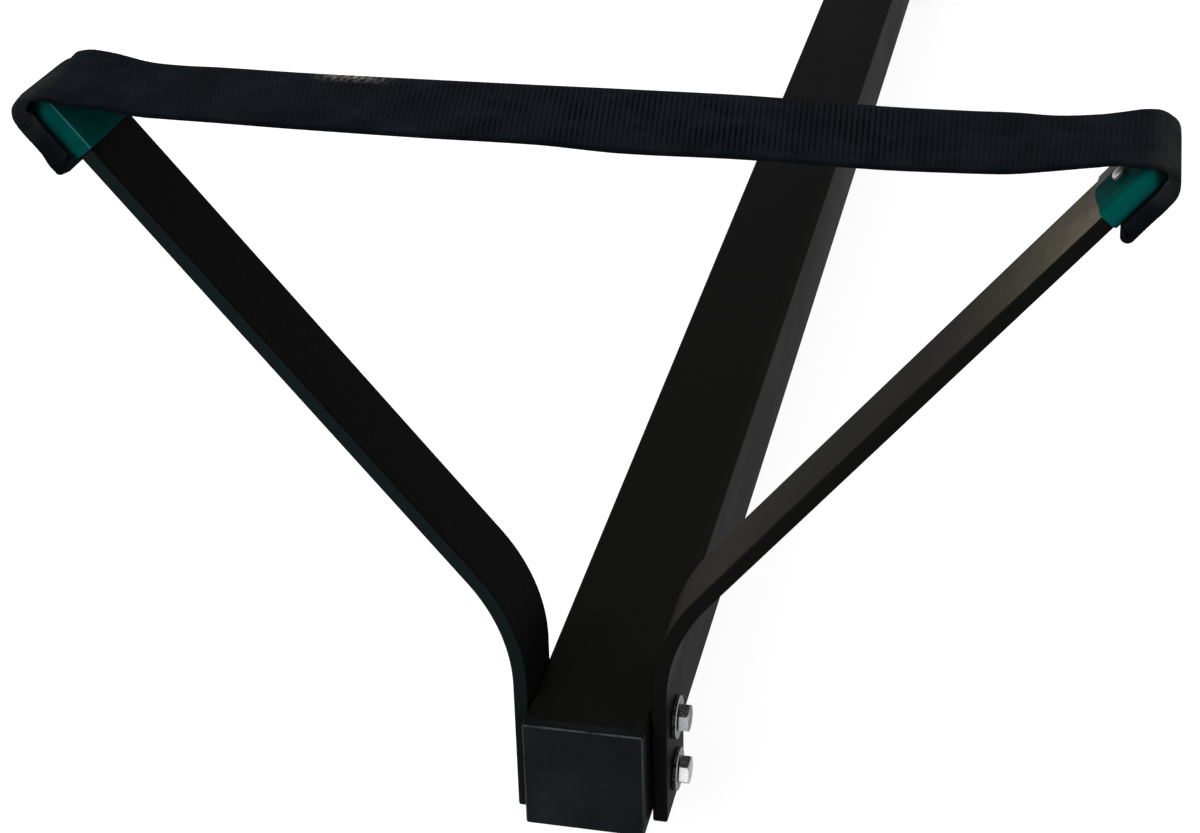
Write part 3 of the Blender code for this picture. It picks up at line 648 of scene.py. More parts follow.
def loft(name, rows, closed=False):
    """A solid through rows of points, each once round and all equally long. A row of one point is a pole.
    Seen from outside, points run anticlockwise and rows run up. If closed, the last row joins the first."""
    steps = max(len(row) for row in rows)
    verts, numbers = [], []
    for row in rows:
        first = len(verts)
        verts += row
        numbers.append([first] * steps if len(row) == 1 else list(range(first, first + steps)))
    pairs = list(zip(numbers, numbers[1:]))
    if closed:
        pairs.append((numbers[-1], numbers[0]))
    faces = []
    for low, high in pairs:
        for i in range(steps):
            j = (i + 1) % steps
            faces.append(list(dict.fromkeys((low[i], low[j], high[j], high[i]))))
    return new_mesh(name, verts, faces=faces)


def ring_mesh(name, rings, steps, closed=False):
    """A solid about Z from rings that run up its outside. A ring is a radius and a height, or a function
    of the angle that gives them."""
    rows = []
    for ring in rings:
        row = []
        for i in range(steps):
            angle = 2 * math.pi * i / steps
            radius, height = ring(angle) if callable(ring) else ring
            row.append((radius * math.cos(angle), radius * math.sin(angle), height))
        rows.append(row[:1] if max(abs(v) for p in row for v in p[:2]) == 0 else row)
    return loft(name, rows, closed)


def store_painted_light(mesh, rule):
    """Stores each face's painted shade by a rule from its direction; a value below 0 is a painted highlight."""
    marks = mesh.attributes.new("grime", "FLOAT", "FACE")
    for face in mesh.polygons:
        marks.data[face.index].value = rule(face.normal)


def hexagon(flats, height, trim=None):
    """A ring on a hexagon's sides at one height, or with a trim where a 30 degree chamfer there cuts them."""
    half = flats / 2

    def ring(angle):
        radius = half / math.cos((angle + math.pi / 6) % (math.pi / 3) - math.pi / 6)
        drop = 0 if trim is None else (radius - half + trim) * math.tan(math.pi / 6)
        return radius, height - drop

    return ring


def arc(centre, radius, start, end, steps):
    """Points round an arc, with angles in degrees from the first axis towards the second."""
    angles = [math.radians(start + (end - start) * i / steps) for i in range(steps + 1)]
    return [(centre[0] + radius * math.cos(a), centre[1] + radius * math.sin(a)) for a in angles]


def rounded_section(half_x, half_y, radius, height):
    """A closed rounded rectangle round Z, anticlockwise from above."""
    corner_steps, wide_steps, edge_steps = 5, 12, 3
    corners = enumerate([(1, 1), (-1, 1), (-1, -1), (1, -1)])
    arcs = [
        arc((sx * (half_x - radius), sy * (half_y - radius)), radius, 90 * n, 90 * n + 90, corner_steps)
        for n, (sx, sy) in corners
    ]
    points = []
    for n, here in enumerate(arcs):
        points += here
        steps = wide_steps if n % 2 else edge_steps
        for i in range(1, steps):
            points.append([a + (b - a) * (i / steps) for a, b in zip(here[-1], arcs[(n + 1) % 4][0])])
    return [(x, y, height) for x, y in points]


def tip_place(end, side):
    """The frame at the end of an arm: +Z on along the arm, +X out of its outer face."""
    sign = SIDES[side]
    turn = Matrix.Rotation(0 if sign > 0 else math.pi, 4, "Z") @ Matrix.Rotation(ARM_LEAN, 4, "Y")
    return Matrix.Translation((sign * ARM_TIP.x, ENDS[end] * CRADLE_Y, ARM_TIP.z)) @ turn


def rivet_place(end, side):
    """The frame of a sling's rivet: +Z out of the arm's outer face, with the origin in the arm's middle."""
    return tip_place(end, side) @ Matrix.Translation((0, 0, -RIVET_FROM_TIP)) @ SIDEWAYS


def bolt_places(way, x=0.0):
    """The frames of one cradle's bolts by level: +Z to the right, with the origin at an X."""
    return {
        level: Matrix.Translation((x, way * CRADLE_Y, height)) @ SIDEWAYS
        for level, height in BOLT_HEIGHTS.items()
    }


class Tree(Wiring):
    """A Geometry Nodes tree being filled in, with its named inputs in given. Counts are whole numbers."""

    def __init__(self, name, lengths, counts):
        super().__init__(bpy.data.node_groups.new(name, "GeometryNodeTree"))
        inputs = [("Geometry", "Geometry"), *((title, "Float") for title in lengths.split(", "))]
        inputs += [*((title, "Int") for title in counts.split(", ")), ("Material", "Material")]
        for title, kind in inputs:
            self.tree.interface.new_socket(title, in_out="INPUT", socket_type="NodeSocket" + kind)
        self.tree.interface.new_socket("Geometry", in_out="OUTPUT", socket_type="NodeSocketGeometry")
        self.given = self.add("NodeGroupInput")

    def end(self, shape):
        """The last nodes: no instances are left, and the material is set."""
        whole = self.add("GeometryNodeRealizeInstances", (shape,))
        dressed = self.add("GeometryNodeSetMaterial", {"Geometry": whole, "Material": self.given["Material"]})
        self.add("NodeGroupOutput", (dressed,))
        return self.tree

    def welded(self, shape):
        return self.add("GeometryNodeMergeByDistance", {"Geometry": shape, "Distance": WELD})

    def joined(self, *shapes):
        both = self.add("GeometryNodeJoinGeometry")
        for shape in shapes:
            self.feed(both.socket.node.inputs[0], shape)
        return both

    def line(self):
        """The line that the tree is given."""
        return self.add("GeometryNodeMeshToCurve", (self.given["Geometry"],))

    def oblong(self, width, height):
        return self.add("GeometryNodeCurvePrimitiveQuadrilateral", {"Width": width, "Height": height})

    def bent(self, curve, radius, steps):
        """A curve with its corners bent to a radius."""
        bend = {"Curve": curve, "Radius": radius, "Count": steps}
        return self.add("GeometryNodeFilletCurve", bend, mode="POLY")

    def grid(self, rows, around):
        """A grid, and each point's share of the path and share of the way round, both 0 to 1."""
        place = self.split(self.add("GeometryNodeInputPosition"))
        sizes = {"Size X": 1.0, "Size Y": 1.0, "Vertices X": rows, "Vertices Y": around}
        return self.add("GeometryNodeMeshGrid", sizes), place["X"] + 0.5, place["Y"] + 0.5

    def xyz(self, x, y, z):
        return self.add("ShaderNodeCombineXYZ", (x, y, z))

    def laid(self, grid, path, along, out, aside):
        """The grid with each point at a length along the path in XZ, a way out from it and a way along Y."""
        inputs = {"Curves": path, "Length": along}
        sample = self.add("GeometryNodeSampleCurve", inputs, mode="LENGTH", use_all_curves=True)
        outwards = self.vectors("CROSS_PRODUCT", sample["Tangent"], (0.0, 1.0, 0.0))
        outwards = self.add("ShaderNodeVectorMath", {"Vector": outwards, "Scale": out}, operation="SCALE")
        place = self.vectors("ADD", sample["Position"], outwards)
        place = self.vectors("ADD", place, self.xyz(0.0, aside, 0.0))
        return self.add("GeometryNodeSetPosition", {"Geometry": grid, "Position": place})


def webbing_tree():
    """Tubular webbing laid flat along a path in XZ, with ribs across it. It stores its map for the weave, and
    marks on its selvages, on its edges for painted shade, at the bends for scuffing and a painted highlight, and on
    a frayed stretch of the far edge."""
    lengths = "Width, Thickness, Rib Pitch, Rib Height, Unevenness, Seed, Crown, Crown Length, Selvage"
    lengths += ", Fray, Fuzz At, Bend At"
    tree = Tree("ribbed tubular webbing", lengths, "Rows per Rib, Flat Steps, Edge Steps")
    given = tree.given
    width, thickness, pitch = given["Width"], given["Thickness"], given["Rib Pitch"]
    path = tree.line()
    length = tree.add("GeometryNodeCurveLength", (path,))
    half_steps = given["Flat Steps"] + given["Edge Steps"]
    all_steps = half_steps * 2.0
    rows = round(length / pitch) * given["Rows per Rib"] + 1.0
    grid, along_share, round_share = tree.grid(rows, all_steps + 1.0)
    along = along_share * length

    step = round(round_share * all_steps)
    under = tree.maths("GREATER_THAN", step, half_steps - 0.5)
    sign = 1.0 - under * 2.0
    on_side = step - under * half_steps
    flat = (on_side / given["Flat Steps"]).within()
    turn = ((on_side - given["Flat Steps"]) / given["Edge Steps"]).within() * math.pi
    side_turn, face_turn = tree.maths("SINE", turn), tree.maths("COSINE", turn)
    swell = tree.maths("SQRT", (tree.maths("MINIMUM", along, length - along) / thickness).within())
    half = thickness * 0.5
    flat_width = width - thickness
    crown_ease, crown_power = 0.45, 3.2
    across = sign * (flat_width * (0.5 - flat) - side_turn * half)
    middle = abs(along - length * 0.5)
    open_part = (1.0 - middle / given["Crown Length"]).spread(0.0, crown_ease, kind="SMOOTHSTEP")
    crown = given["Crown"] * open_part * (1.0 - abs(across * 2.0 / width) ** crown_power)
    out = sign * face_turn * (half * swell + crown)

    ridge_sharpness, groove_share, flattened, selvage_reach = 0.65, 0.6, 0.75, 1.3
    where = tree.xyz(along * 90.0, across * 40.0, given["Seed"])
    uneven = (tree.noise(1.0, 2.0, at=where) - 0.5) * given["Unevenness"]
    ridge = abs(tree.maths("SINE", (along + uneven) / pitch * math.pi)) ** ridge_sharpness
    from_edge = width * 0.5 - abs(across)
    selvage = (selvage_reach - from_edge / given["Selvage"]).within()
    rib_height = given["Rib Height"] * tree.maths("MULTIPLY_ADD", selvage, -flattened, 1.0)
    height = (ridge - groove_share) * rib_height * swell
    fine = tree.xyz(along * 1100.0, out * 500.0, given["Seed"])
    height = height + (tree.noise(1.0, 1.0, at=fine) - 0.5) * given["Fray"] * side_turn * swell
    rib_across = sign * (side_turn * -1.0) * height
    rib_out = sign * face_turn * height

    around = flat * flat_width + turn * half + under * (flat_width + half * math.pi)
    full_to, scuff_and_highlight_ends, fuzz_ends, far_edge, edge_fade = 0.004, 0.016, 0.019, 0.0185, 0.003
    scuff = abs(middle - given["Bend At"]).spread(full_to, scuff_and_highlight_ends, 1.0, 0.0, "SMOOTHSTEP")
    fuzz = abs(along - given["Fuzz At"]).spread(full_to, fuzz_ends, 1.0, 0.0, "SMOOTHSTEP")
    far_side = ((across - far_edge) / edge_fade).within()
    for name, kind, domain, value in (
        ("weave", "FLOAT2", "CORNER", tree.xyz(along, around, 0.0)),
        ("scuff", "FLOAT", "POINT", scuff),
        ("selvage", "FLOAT", "POINT", selvage),
        ("edge", "FLOAT", "POINT", side_turn),
        ("fuzz", "FLOAT", "POINT", fuzz * far_side),
    ):
        inputs = {"Geometry": grid, "Name": name, "Value": value}
        grid = tree.add("GeometryNodeStoreNamedAttribute", inputs, data_type=kind, domain=domain)
    strap = tree.welded(tree.laid(grid, path, along, out + rib_out, across + rib_across))
    return tree.end(tree.add("GeometryNodeFlipFaces", (strap,)))


def rod_tree():
    """A round rod along a path in XZ, bent at its corners, with a rolled thread at each end."""
    lengths = "Diameter, Bend Radius, Thread Pitch, Thread Depth, Point"
    tree = Tree("threaded rod", lengths, "Bend Steps, Turns, Rows per Turn, Plain Rows, Steps Around")
    given, pitch, plain_rows = tree.given, tree.given["Thread Pitch"], tree.given["Plain Rows"]
    path = tree.bent(tree.line(), given["Bend Radius"], given["Bend Steps"])
    length = tree.add("GeometryNodeCurveLength", (path,))
    thread_rows = given["Turns"] * given["Rows per Turn"]
    to_far_thread = thread_rows + plain_rows
    last = to_far_thread + thread_rows
    last_row = last + 2.0
    grid, row_share, round_share = tree.grid(last + 3.0, given["Steps Around"] + 1.0)
    row = round(row_share * last_row)
    step = row - 1.0
    row_pitch = pitch / given["Rows per Turn"]
    threaded = given["Turns"] * pitch
    plain_pitch = (length - threaded * 2.0) / plain_rows
    along = step.within(0.0, thread_rows) * row_pitch
    along = along + (step - thread_rows).within(0.0, plain_rows) * plain_pitch
    along = along + (step - to_far_thread).within(0.0, thread_rows) * row_pitch

    from_end = tree.maths("MINIMUM", along, length - along)
    saw = tree.maths("FRACT", along / pitch + round_share) * 2.0 - 1.0
    valley = 1.0 - ((1.0 - abs(saw)) * THREAD_FLANK).within()
    runs_out = ((threaded - from_end) / pitch).within()
    cut = tree.maths("MAXIMUM", valley * (given["Thread Depth"] * runs_out), given["Point"] - from_end)
    inside = row.within() * (last_row - row).within()
    radius = (given["Diameter"] * 0.5 - cut) * inside
    angle = round_share * (2 * math.pi)
    out, aside = radius * tree.maths("COSINE", angle), radius * tree.maths("SINE", angle)
    return tree.end(tree.welded(tree.laid(grid, path, along, out, aside)))


def bar_tree():
    """Flat bar along a path in XZ, bent at its corners to one radius."""
    tree = Tree("bent flat bar", "Width, Thickness, Bend Radius", "Bend Steps")
    given = tree.given
    path = tree.bent(tree.line(), given["Bend Radius"], given["Bend Steps"])
    upright = {"Curve": path, "Normal": (0.0, 1.0, 0.0)}
    path = tree.add("GeometryNodeSetCurveNormal", upright, mode="FREE")
    section = tree.oblong(given["Width"], given["Thickness"])
    sweep = {"Curve": path, "Profile Curve": section, "Fill Caps": True}
    return tree.end(tree.add("GeometryNodeCurveToMesh", sweep))


def tube_tree():
    """Square tube along Z from the origin, with rounded corners outside and in."""
    tree = Tree("square tube", "Size, Wall, Corner Radius, Inside Radius, Length", "Corner Steps")
    given, inside = tree.given, tree.given["Size"] - tree.given["Wall"] * 2.0
    squares = [
        tree.bent(tree.oblong(size, size), radius, given["Corner Steps"])
        for size, radius in ((given["Size"], given["Corner Radius"]), (inside, given["Inside Radius"]))
    ]
    end = tree.add("GeometryNodeFillCurve", {"Curve": tree.joined(*squares)}, mode="NGONS")
    pull = {"Mesh": end, "Individual": False, "Offset": (0.0, 0.0, 1.0), "Offset Scale": given["Length"]}
    far = tree.add("GeometryNodeExtrudeMesh", pull, mode="FACES")
    return tree.end(tree.welded(tree.joined(far, tree.add("GeometryNodeFlipFaces", (end,)))))


def made_by(tree, name, points, slot, angle, **values):
    """The plain mesh that a tree makes from a line, smooth up to an angle in degrees. The values are the
    tree's named inputs, and each is set by its socket's identifier."""
    values = {key.replace("_", " "): value for key, value in values.items()}
    values["Material"] = finish_of(slot)
    source = show(new_mesh("line", [tuple(p) for p in points], [(i, i + 1) for i in range(len(points) - 1)]))
    modifier = source.modifiers.new(tree.name, "NODES")
    modifier.node_group = tree
    for item in tree.interface.items_tree:
        if item.item_type == "SOCKET" and item.in_out == "INPUT" and item.name in values:
            modifier[item.identifier] = values[item.name]
    mesh = work_in(source)
    bpy.data.objects.remove(source)
    mesh.name = name
    mesh.materials.clear()
    mesh.materials.append(values["Material"])
    mesh.polygons.foreach_set("material_index", [0] * len(mesh.polygons))
    return shaded(mesh, angle)


def between(table, place, column):
    """A column of a table at a place, on a smooth curve through its rows."""
    last = len(table) - 2
    i = next((n for n in range(last + 1) if place <= table[n + 1][0]), last)
    rows = [table[min(max(n, 0), last + 1)] for n in (i - 1, i, i + 1, i + 2)]
    t = ramp(place, rows[1][0], rows[2][0])
    a, b, c, d = (row[column] for row in rows)
    return b + t * ((c - a) + t * ((2 * a - 5 * b + 4 * c - d) + t * (3 * b - a - 3 * c + d))) / 2


def sling_half(web, flap_length):
    """One half of a sling's middle line in XZ, from mid-span to its tucked end, for the right side."""
    turn_steps, ease_steps = 20, 32
    tuck = SLEEVED_FACE + SEAT_GAP + web.thickness / 2
    flap = tuck + web.thickness + FLAP_FOLD_GAP
    fold = (flap - tuck) / 2

    def placed(points):
        return [ARM_TIP + up * ALONG_ARM + out * OUT_OF_ARM for up, out in points]

    crest_turn = math.degrees(ARM_LEAN) + WEB_CREST_EXTRA
    crest_centre = (web.arch_top - WEB_CREST_RADIUS, WEB_ARCH_OUT)
    crest = placed(arc(crest_centre, WEB_CREST_RADIUS, -crest_turn, 0, turn_steps))
    shoulder = []
    reach, power = flap - WEB_ARCH_OUT, 2 / WEB_SHOULDER_POWER
    for i in range(1, SHOULDER_STEPS + 1):
        turn = math.pi / 2 * i / SHOULDER_STEPS
        up = web.arch_top - WEB_SHOULDER_DROP * (1 - max(math.cos(turn), 0.0) ** power)
        shoulder.append((up, WEB_ARCH_OUT + reach * math.sin(turn) ** power))
    fold_centre = (fold + web.thickness / 2 - flap_length, (flap + tuck) / 2)
    folded = [*shoulder, *arc(fold_centre, fold, 90, 270, turn_steps), (-FLAP_TUCK_STOP, tuck)]
    sag_length = 2 * WEB_SAG / math.tan(math.radians(WEB_CREST_EXTRA))
    ease = []
    for i in range(ease_steps):
        share = 1 - i / ease_steps
        ease.append(crest[0] - Vector((sag_length * share, 0, WEB_SAG * (1 - (1 - share) ** 2))))
    return [*ease, *crest, *placed(folded)], len(ease) + len(crest)


def path_length(points):
    return sum((b - a).length for a, b in zip(points, points[1:]))


class RACK_OT_slings(bpy.types.Operator):
    """Makes the two webbing slings, ribbed and folded double over the sleeved tips"""

    bl_idname = "rack.slings"
    bl_label = "Slings"

    fuzz_from_middle = 0.089

    def execute(self, context):
        web = context.scene.rack_webbing
        tree = webbing_tree()
        left, _ = sling_half(web, FLAP_LENGTHS[-1])
        right, to_crest = sling_half(web, FLAP_LENGTHS[1])
        path = [Vector((-p.x, 0, p.z)) for p in reversed(left)] + right
        bend_at = path_length([Vector((0, 0, right[0].z)), *right[: to_crest + SHOULDER_STEPS // 2]])
        for number, (end, way) in enumerate(ENDS.items()):
            mesh = made_by(
                tree,
                f"{end}_sling_webbing",
                [p + Vector((0, way * CRADLE_Y, 0)) for p in path],
                "black_webbing",
                angle=50,
                Width=web.width,
                Thickness=web.thickness,
                Rib_Pitch=web.rib_pitch,
                Rib_Height=web.rib_height,
                Rows_per_Rib=6,
                Flat_Steps=10,
                Edge_Steps=4,
                Unevenness=web.unevenness,
                Seed=float(number * 7),
                Crown=web.crown,
                Crown_Length=0.19,
                Selvage=web.selvage,
                Fray=web.fray,
                Fuzz_At=path_length(path) / 2 - self.fuzz_from_middle,
                Bend_At=bend_at,
            )
            self.let_hang(mesh, way * CRADLE_Y, web)
            piece = settle(show(mesh), "black_webbing", f"{end}_sling")
            rests = [f"{end}_{side}_vinyl_sleeve" for side in SIDES]
            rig.sheet(piece, flat=(web.width, path_length(path)), held="stretched", rests_on=rests)
        return {"FINISHED"}

    def close_flap(self, place, up, out, side, middle_y, web):
        """Draws the tucked layer's edges in, rolls the outer layer's over them and fills the bend out."""
        across = place.y - middle_y
        between_layers = SLEEVED_FACE + SEAT_GAP + web.thickness + FLAP_FOLD_GAP / 2
        fold_end = (web.thickness * 2 + FLAP_FOLD_GAP) / 2 - FLAP_LENGTHS[side]
        past_fold = ramp(up, fold_end, fold_end + FOLD_FADE)
        if out < between_layers and up < ROLL_HEIGHT[1]:
            if out > SLEEVED_FACE:
                place.y -= across * TUCK_DRAWN_IN * past_fold
            return
        reach = between_layers + (FLAP_FOLD_GAP + web.thickness) / 2 - WEB_ARCH_OUT
        rise = max(up - web.arch_top + WEB_SHOULDER_DROP, 0.0) / WEB_SHOULDER_DROP
        spread = max(out - WEB_ARCH_OUT, 0.0) / reach
        power = WEB_SHOULDER_POWER
        from_middle = ((rise**power + spread**power) ** (1 / power) - 1) * reach / (web.thickness / 2)
        at_edge = ramp(abs(across), *ROLL_EDGE)
        over_edge = at_edge * at_edge * (3 - 2 * at_edge)
        roll = FLAP_ROLL[side] + ROLL_GROWTH * max(up - ROLL_GROWS_FROM, 0.0)
        roll *= past_fold * ramp(up, *ROLL_HEIGHT) * over_edge * ramp(from_middle, 0, -1)
        bend = ramp(out, *BEND_OUT) * ramp(up, *BEND_HEIGHT) * ramp(from_middle, 0, 1)
        at_middle, slant = BEND_FULLNESS[side]
        fullness = (at_middle + slant * across) * (1 - (abs(across) / BEND_HALF_WIDTH) ** 10)
        place -= roll * Vector((side * OUT_OF_ARM.x, 0, OUT_OF_ARM.z))
        place += fullness * bend * Vector((side * ALONG_ARM.x, 0, ALONG_ARM.z))

    def let_hang(self, mesh, middle_y, web):
        """Moves the span's edges and ribs to where they hang, and puffs the flaps round their rivets."""
        for vert in mesh.vertices:
            place = vert.co
            side = 1 if place.x > 0 else -1
            from_tip = Vector((side * place.x, 0, place.z)) - ARM_TIP
            up, out = from_tip.dot(ALONG_ARM), from_tip.dot(OUT_OF_ARM)
            across = (place.y - middle_y) / web.width
            on_span = ramp(out, *SPAN_OUT)
            if on_span:
                far, near, ahead = (between(SLING_SET, place.x * MM, column) for column in (1, 2, 3))
                place.z += ((far + near) / 2 + (far - near) * across) * on_span / MM
                place.x -= math.tan(math.radians(ahead)) * across * web.width * on_span
            if out > BEND_OUT[0] and up < FLAP_TOP:
                self.close_flap(place, up, out, side, middle_y, web)
            if out > PUSH_OUT_ABOVE[0] and up < PUSH_TOP:
                outer_face = ramp(out, *(PUSH_OUT_BELOW if up < 0 else PUSH_OUT_ABOVE))
                from_rivet = math.hypot(up + RIVET_FROM_TIP, place.y - middle_y)
                free = 1 - math.exp(-((from_rivet / RIVET_HOLD) ** 4))
                push = between(FLAP_SET[side], up * MM, 1) / MM * outer_face * free
                place += push * Vector((side * OUT_OF_ARM.x, 0, OUT_OF_ARM.z))


class RACK_OT_tip_sleeves(bpy.types.Operator):
    """Makes the teal vinyl sleeve on each arm's tip"""

    bl_idname = "rack.tip_sleeves"
    bl_label = "Tip sleeves"

    def execute(self, context):
        for end, _, side, sign in TIPS:
            mesh = self.sleeve_mesh(f"{end}_{side}_vinyl_sleeve", sign)
            mesh.transform(tip_place(end, side))
            settle(show(shaded(mesh, 40)), "teal_vinyl", f"{end}_{side}_tip_sleeve")
        return {"FINISHED"}

    def sleeve_mesh(self, name, sign):
        """A thin skin over the arm's end. The right ones' cut end bows down the inner face."""
        half_x, half_y = ARM_THICKNESS / 2 + SLEEVE_STACK, ARM_WIDTH / 2 + SLEEVE_STACK
        corner, bow = (0.0026, 0.0034) if sign > 0 else (0.0009, 0.0003)
        crown, shoulder = 0.0031, 0.0004
        bow_middle, bow_half = 0.006, 0.026
        lip, lip_steps = SLEEVE_WALL / 2, 4
        dome_steps, dome_power, least_corner = 9, 0.8, 0.0002
        inside = SLEEVE_STACK - SLEEVE_WALL

        def shell(inset, height, bowed=0.0):
            """One row round the sleeve. A bowed one follows the cut end by a share."""
            row = []
            radius = max(corner - inset, least_corner)
            for x, y, z in rounded_section(half_x - inset, half_y - inset, radius, height):
                inner = ramp(x, half_x, -half_x)
                from_peak = min(abs(y - bow_middle) / bow_half, 1.0)
                row.append((x, y, z - bowed * bow * inner * math.cos(math.pi / 2 * from_peak) ** 2))
            return row

        def down(inset, *stops):
            return [shell(inset, SLEEVE_LENGTH * part + lip * (part == -1), bowed) for part, bowed in stops]

        rows = [[(0, 0, inside)]]
        rows += [shell(half_x - (half_x - SLEEVE_WALL) * part, inside) for part in (0.5, 1.0)]
        rows += down(SLEEVE_WALL, (-0.25, 0), (-0.5, 0), (-0.75, 0.35), (-1, 1))
        for i in range(1, lip_steps):
            angle = math.pi * i / lip_steps
            rows.append(shell(lip + lip * math.cos(angle), lip - SLEEVE_LENGTH - lip * math.sin(angle), 1))
        rows += down(0, (-1, 1), (-0.97, 0.96), (-0.75, 0.35), (-0.5, 0), (-0.25, 0))
        for i in range(dome_steps):
            angle = math.pi / 2 * i / dome_steps
            rise = (crown + shoulder) * math.sin(angle) ** dome_power
            rows.append(shell(half_x * (1 - math.cos(angle) ** dome_power), rise - shoulder))
        return loft(name, [*rows, [(0, 0, crown)]])


class RACK_OT_sling_rivets(bpy.types.Operator):
    """Makes the rivet and the washer that hold each sling end to its arm"""

    bl_idname = "rack.sling_rivets"
    bl_label = "Sling rivets and washers"

    washer = {"diameter": 0.0159, "hole": RIVET_DIAMETER, "thickness": 0.0012, "seat": FLAP_FACE + SEAT_GAP}

    def execute(self, context):
        for end, _, side, _ in TIPS:
            rivet = self.rivet_mesh(f"{end}_{side}_set_rivet", side)
            washer = washer_mesh(f"{end}_{side}_set_rivet_washer", **self.washer)
            for mesh, slot, node in (
                (rivet, "bright_rivet", "sling_rivet"),
                (washer, "zinc_plate", "rivet_washer"),
            ):
                mesh.transform(rivet_place(end, side))
                settle(show(shaded(mesh, 35)), slot, f"{end}_{side}_{node}")
        return {"FINISHED"}

    def rivet_mesh(self, name, side):
        """A blind rivet: the flange with its broken pin outside, the swelled and domed end inside. The left
        ones are set flush inside the arm, and the right ones' swelled end sits off the shank's middle."""
        top = FLAP_FACE + 2 * SEAT_GAP + self.washer["thickness"]
        shank = RIVET_DIAMETER / 2
        rim, rise, ease, sliver = 0.00475, 0.0015, 0.0003, 0.0001
        bottom = -SLEEVED_FACE - SEAT_GAP
        if side == "right":
            bulb, depth, straight, steps = 0.0027, 0.0014, 0.001, 9
            angles = [math.pi / 2 * i / steps for i in range(steps - 1, 0, -1)]
            rings = [(0, bottom - straight - depth)]
            rings += [(bulb * math.cos(a), bottom - straight - depth * math.sin(a)) for a in angles]
            rings += [(bulb, bottom - straight), (bulb, bottom), (shank, bottom)]
        else:
            flush = -ARM_THICKNESS / 2 - sliver
            rings = [(0, flush), (shank - ease, flush), (shank, flush + ease)]
        rings += [(shank, top), (rim - sliver, top), (rim, top + ease)]
        for angle in (0.3, 0.6, 0.85, 1.05):
            rings.append((rim * math.cos(angle), top + ease + (rise - ease) * math.sin(angle)))
        pin = ((0.0016, 0.99), (0.0013, 0.9), (0.0012, 0.45), (0.0011, 0.45), (0.001, 0.7), (0, 0.76))
        rings += [(radius, top + rise * part) for radius, part in pin]
        mesh = ring_mesh(name, rings, 32)
        off_middle = Vector((-0.0007, -0.0017, 0))
        for vert in mesh.vertices:
            if vert.co.z < bottom - sliver:
                vert.co += off_middle
        return mesh


def washer_mesh(name, diameter, hole, thickness, seat):
    """A punched washer: its upper rim rounded by the punch, its lower one nearly sharp."""
    outer, bore, top = diameter / 2, hole / 2 + HOLE_CLEARANCE, seat + thickness
    eased, crisp = 0.00035, 0.0001
    rings = [(bore, seat + crisp), (bore + crisp, seat), (outer - crisp, seat), (outer, seat + crisp)]
    rings += arc((outer - eased, top - eased), eased, 0, 90, 3)
    rings += [(bore + eased, top), (bore + eased * 0.3, top - eased * 0.3), (bore, top - eased)]
    return ring_mesh(name, rings, 64, closed=True)


class RACK_OT_cradle_bolts(bpy.types.Operator):
    """Makes the hexagon bolts and flat washers that hold the arms to the beam"""

    bl_idname = "rack.cradle_bolts"
    bl_label = "Cradle bolts"

    head_turns = {"upper": math.radians(23.0), "lower": math.radians(17.0)}
    # Painted light: bolts take painted shade on their upward faces and the lower ones a painted highlight elsewhere;
    # washers take painted shade on their rim and underside.
    painted_glint = {"upper": 0.0, "lower": -1.0}
    upward, most_grime, washer_clean_from = (0.25, 0.5), 0.93, 0.35
    seat = ARM_OUTER_X + SEAT_GAP
    washer = {"diameter": 0.0186, "hole": BOLT_DIAMETER, "thickness": 0.00165, "seat": seat}

    def execute(self, context):
        bolts = context.scene.rack_fasteners
        for end, way in ENDS.items():
            for level, place in bolt_places(way).items():
                axis = place @ Matrix.Rotation(self.head_turns[level], 4, "Z")
                mesh = self.bolt_mesh(f"{end}_{level}_hex_bolt", bolts)
                mesh.transform(axis)
                store_painted_light(mesh, self.bolt_grime(level))
                settle(show(shaded(mesh, 28)), "zinc_plate", f"{end}_{level}_bolt")
                mesh = washer_mesh(f"{end}_{level}_flat_washer", **self.washer)
                # Painted shade on the washer's faces that don't look out along the bolt.
                store_painted_light(mesh, lambda facing: float(facing.z < self.washer_clean_from))
                mesh.transform(axis)
                settle(show(shaded(mesh, 35)), "zinc_plate", f"{end}_{level}_bolt_washer")
        return {"FINISHED"}

    def bolt_grime(self, level):
        """A rule for painted shade on a bolt's upward faces, and for the painted highlight that its level takes
        elsewhere.
        """
        return lambda facing: ramp(facing.z, *self.upward) * self.most_grime or self.painted_glint[level]

    def bolt_mesh(self, name, bolts):
        """A hexagon bolt along Z, its head on the washer and its thread at the low end."""
        flats, head, point, dish = 0.0111, 0.0042, 0.0006, 0.00015
        seat = self.seat + self.washer["thickness"] + SEAT_GAP
        radius = BOLT_DIAMETER / 2
        low = 0.0016 - ARM_OUTER_X
        turns, pitch, rows = bolts.bolt_turns, bolts.bolt_pitch, 8
        thread_end = low + turns * pitch

        def thread(height):
            def ring(angle):
                turn = (height - low) / pitch + angle / (2 * math.pi)
                flank = (1 - abs(2 * (turn % 1) - 1)) * THREAD_FLANK
                fade = ramp(height, thread_end, thread_end - pitch)
                cut = bolts.bolt_depth * (1 - min(flank, 1)) * fade
                return radius - max(cut, point - (height - low)), height

            return ring

        rings = [(0, low)]
        rings += [thread(low + pitch * i / rows) for i in range(turns * rows + 1)]
        rings += [(radius, seat - 0.001), (radius + 0.0003, seat), (flats * 0.46, seat)]
        rings += [(flats * 0.475, seat + 0.0003), hexagon(flats, seat + 0.0003)]
        rings += [hexagon(flats, seat + head, 0.0002), (flats / 2 - 0.0003, seat + head)]
        rings += [(flats * 0.3, seat + head - dish), (0, seat + head - dish)]
        return ring_mesh(name, rings, 48)


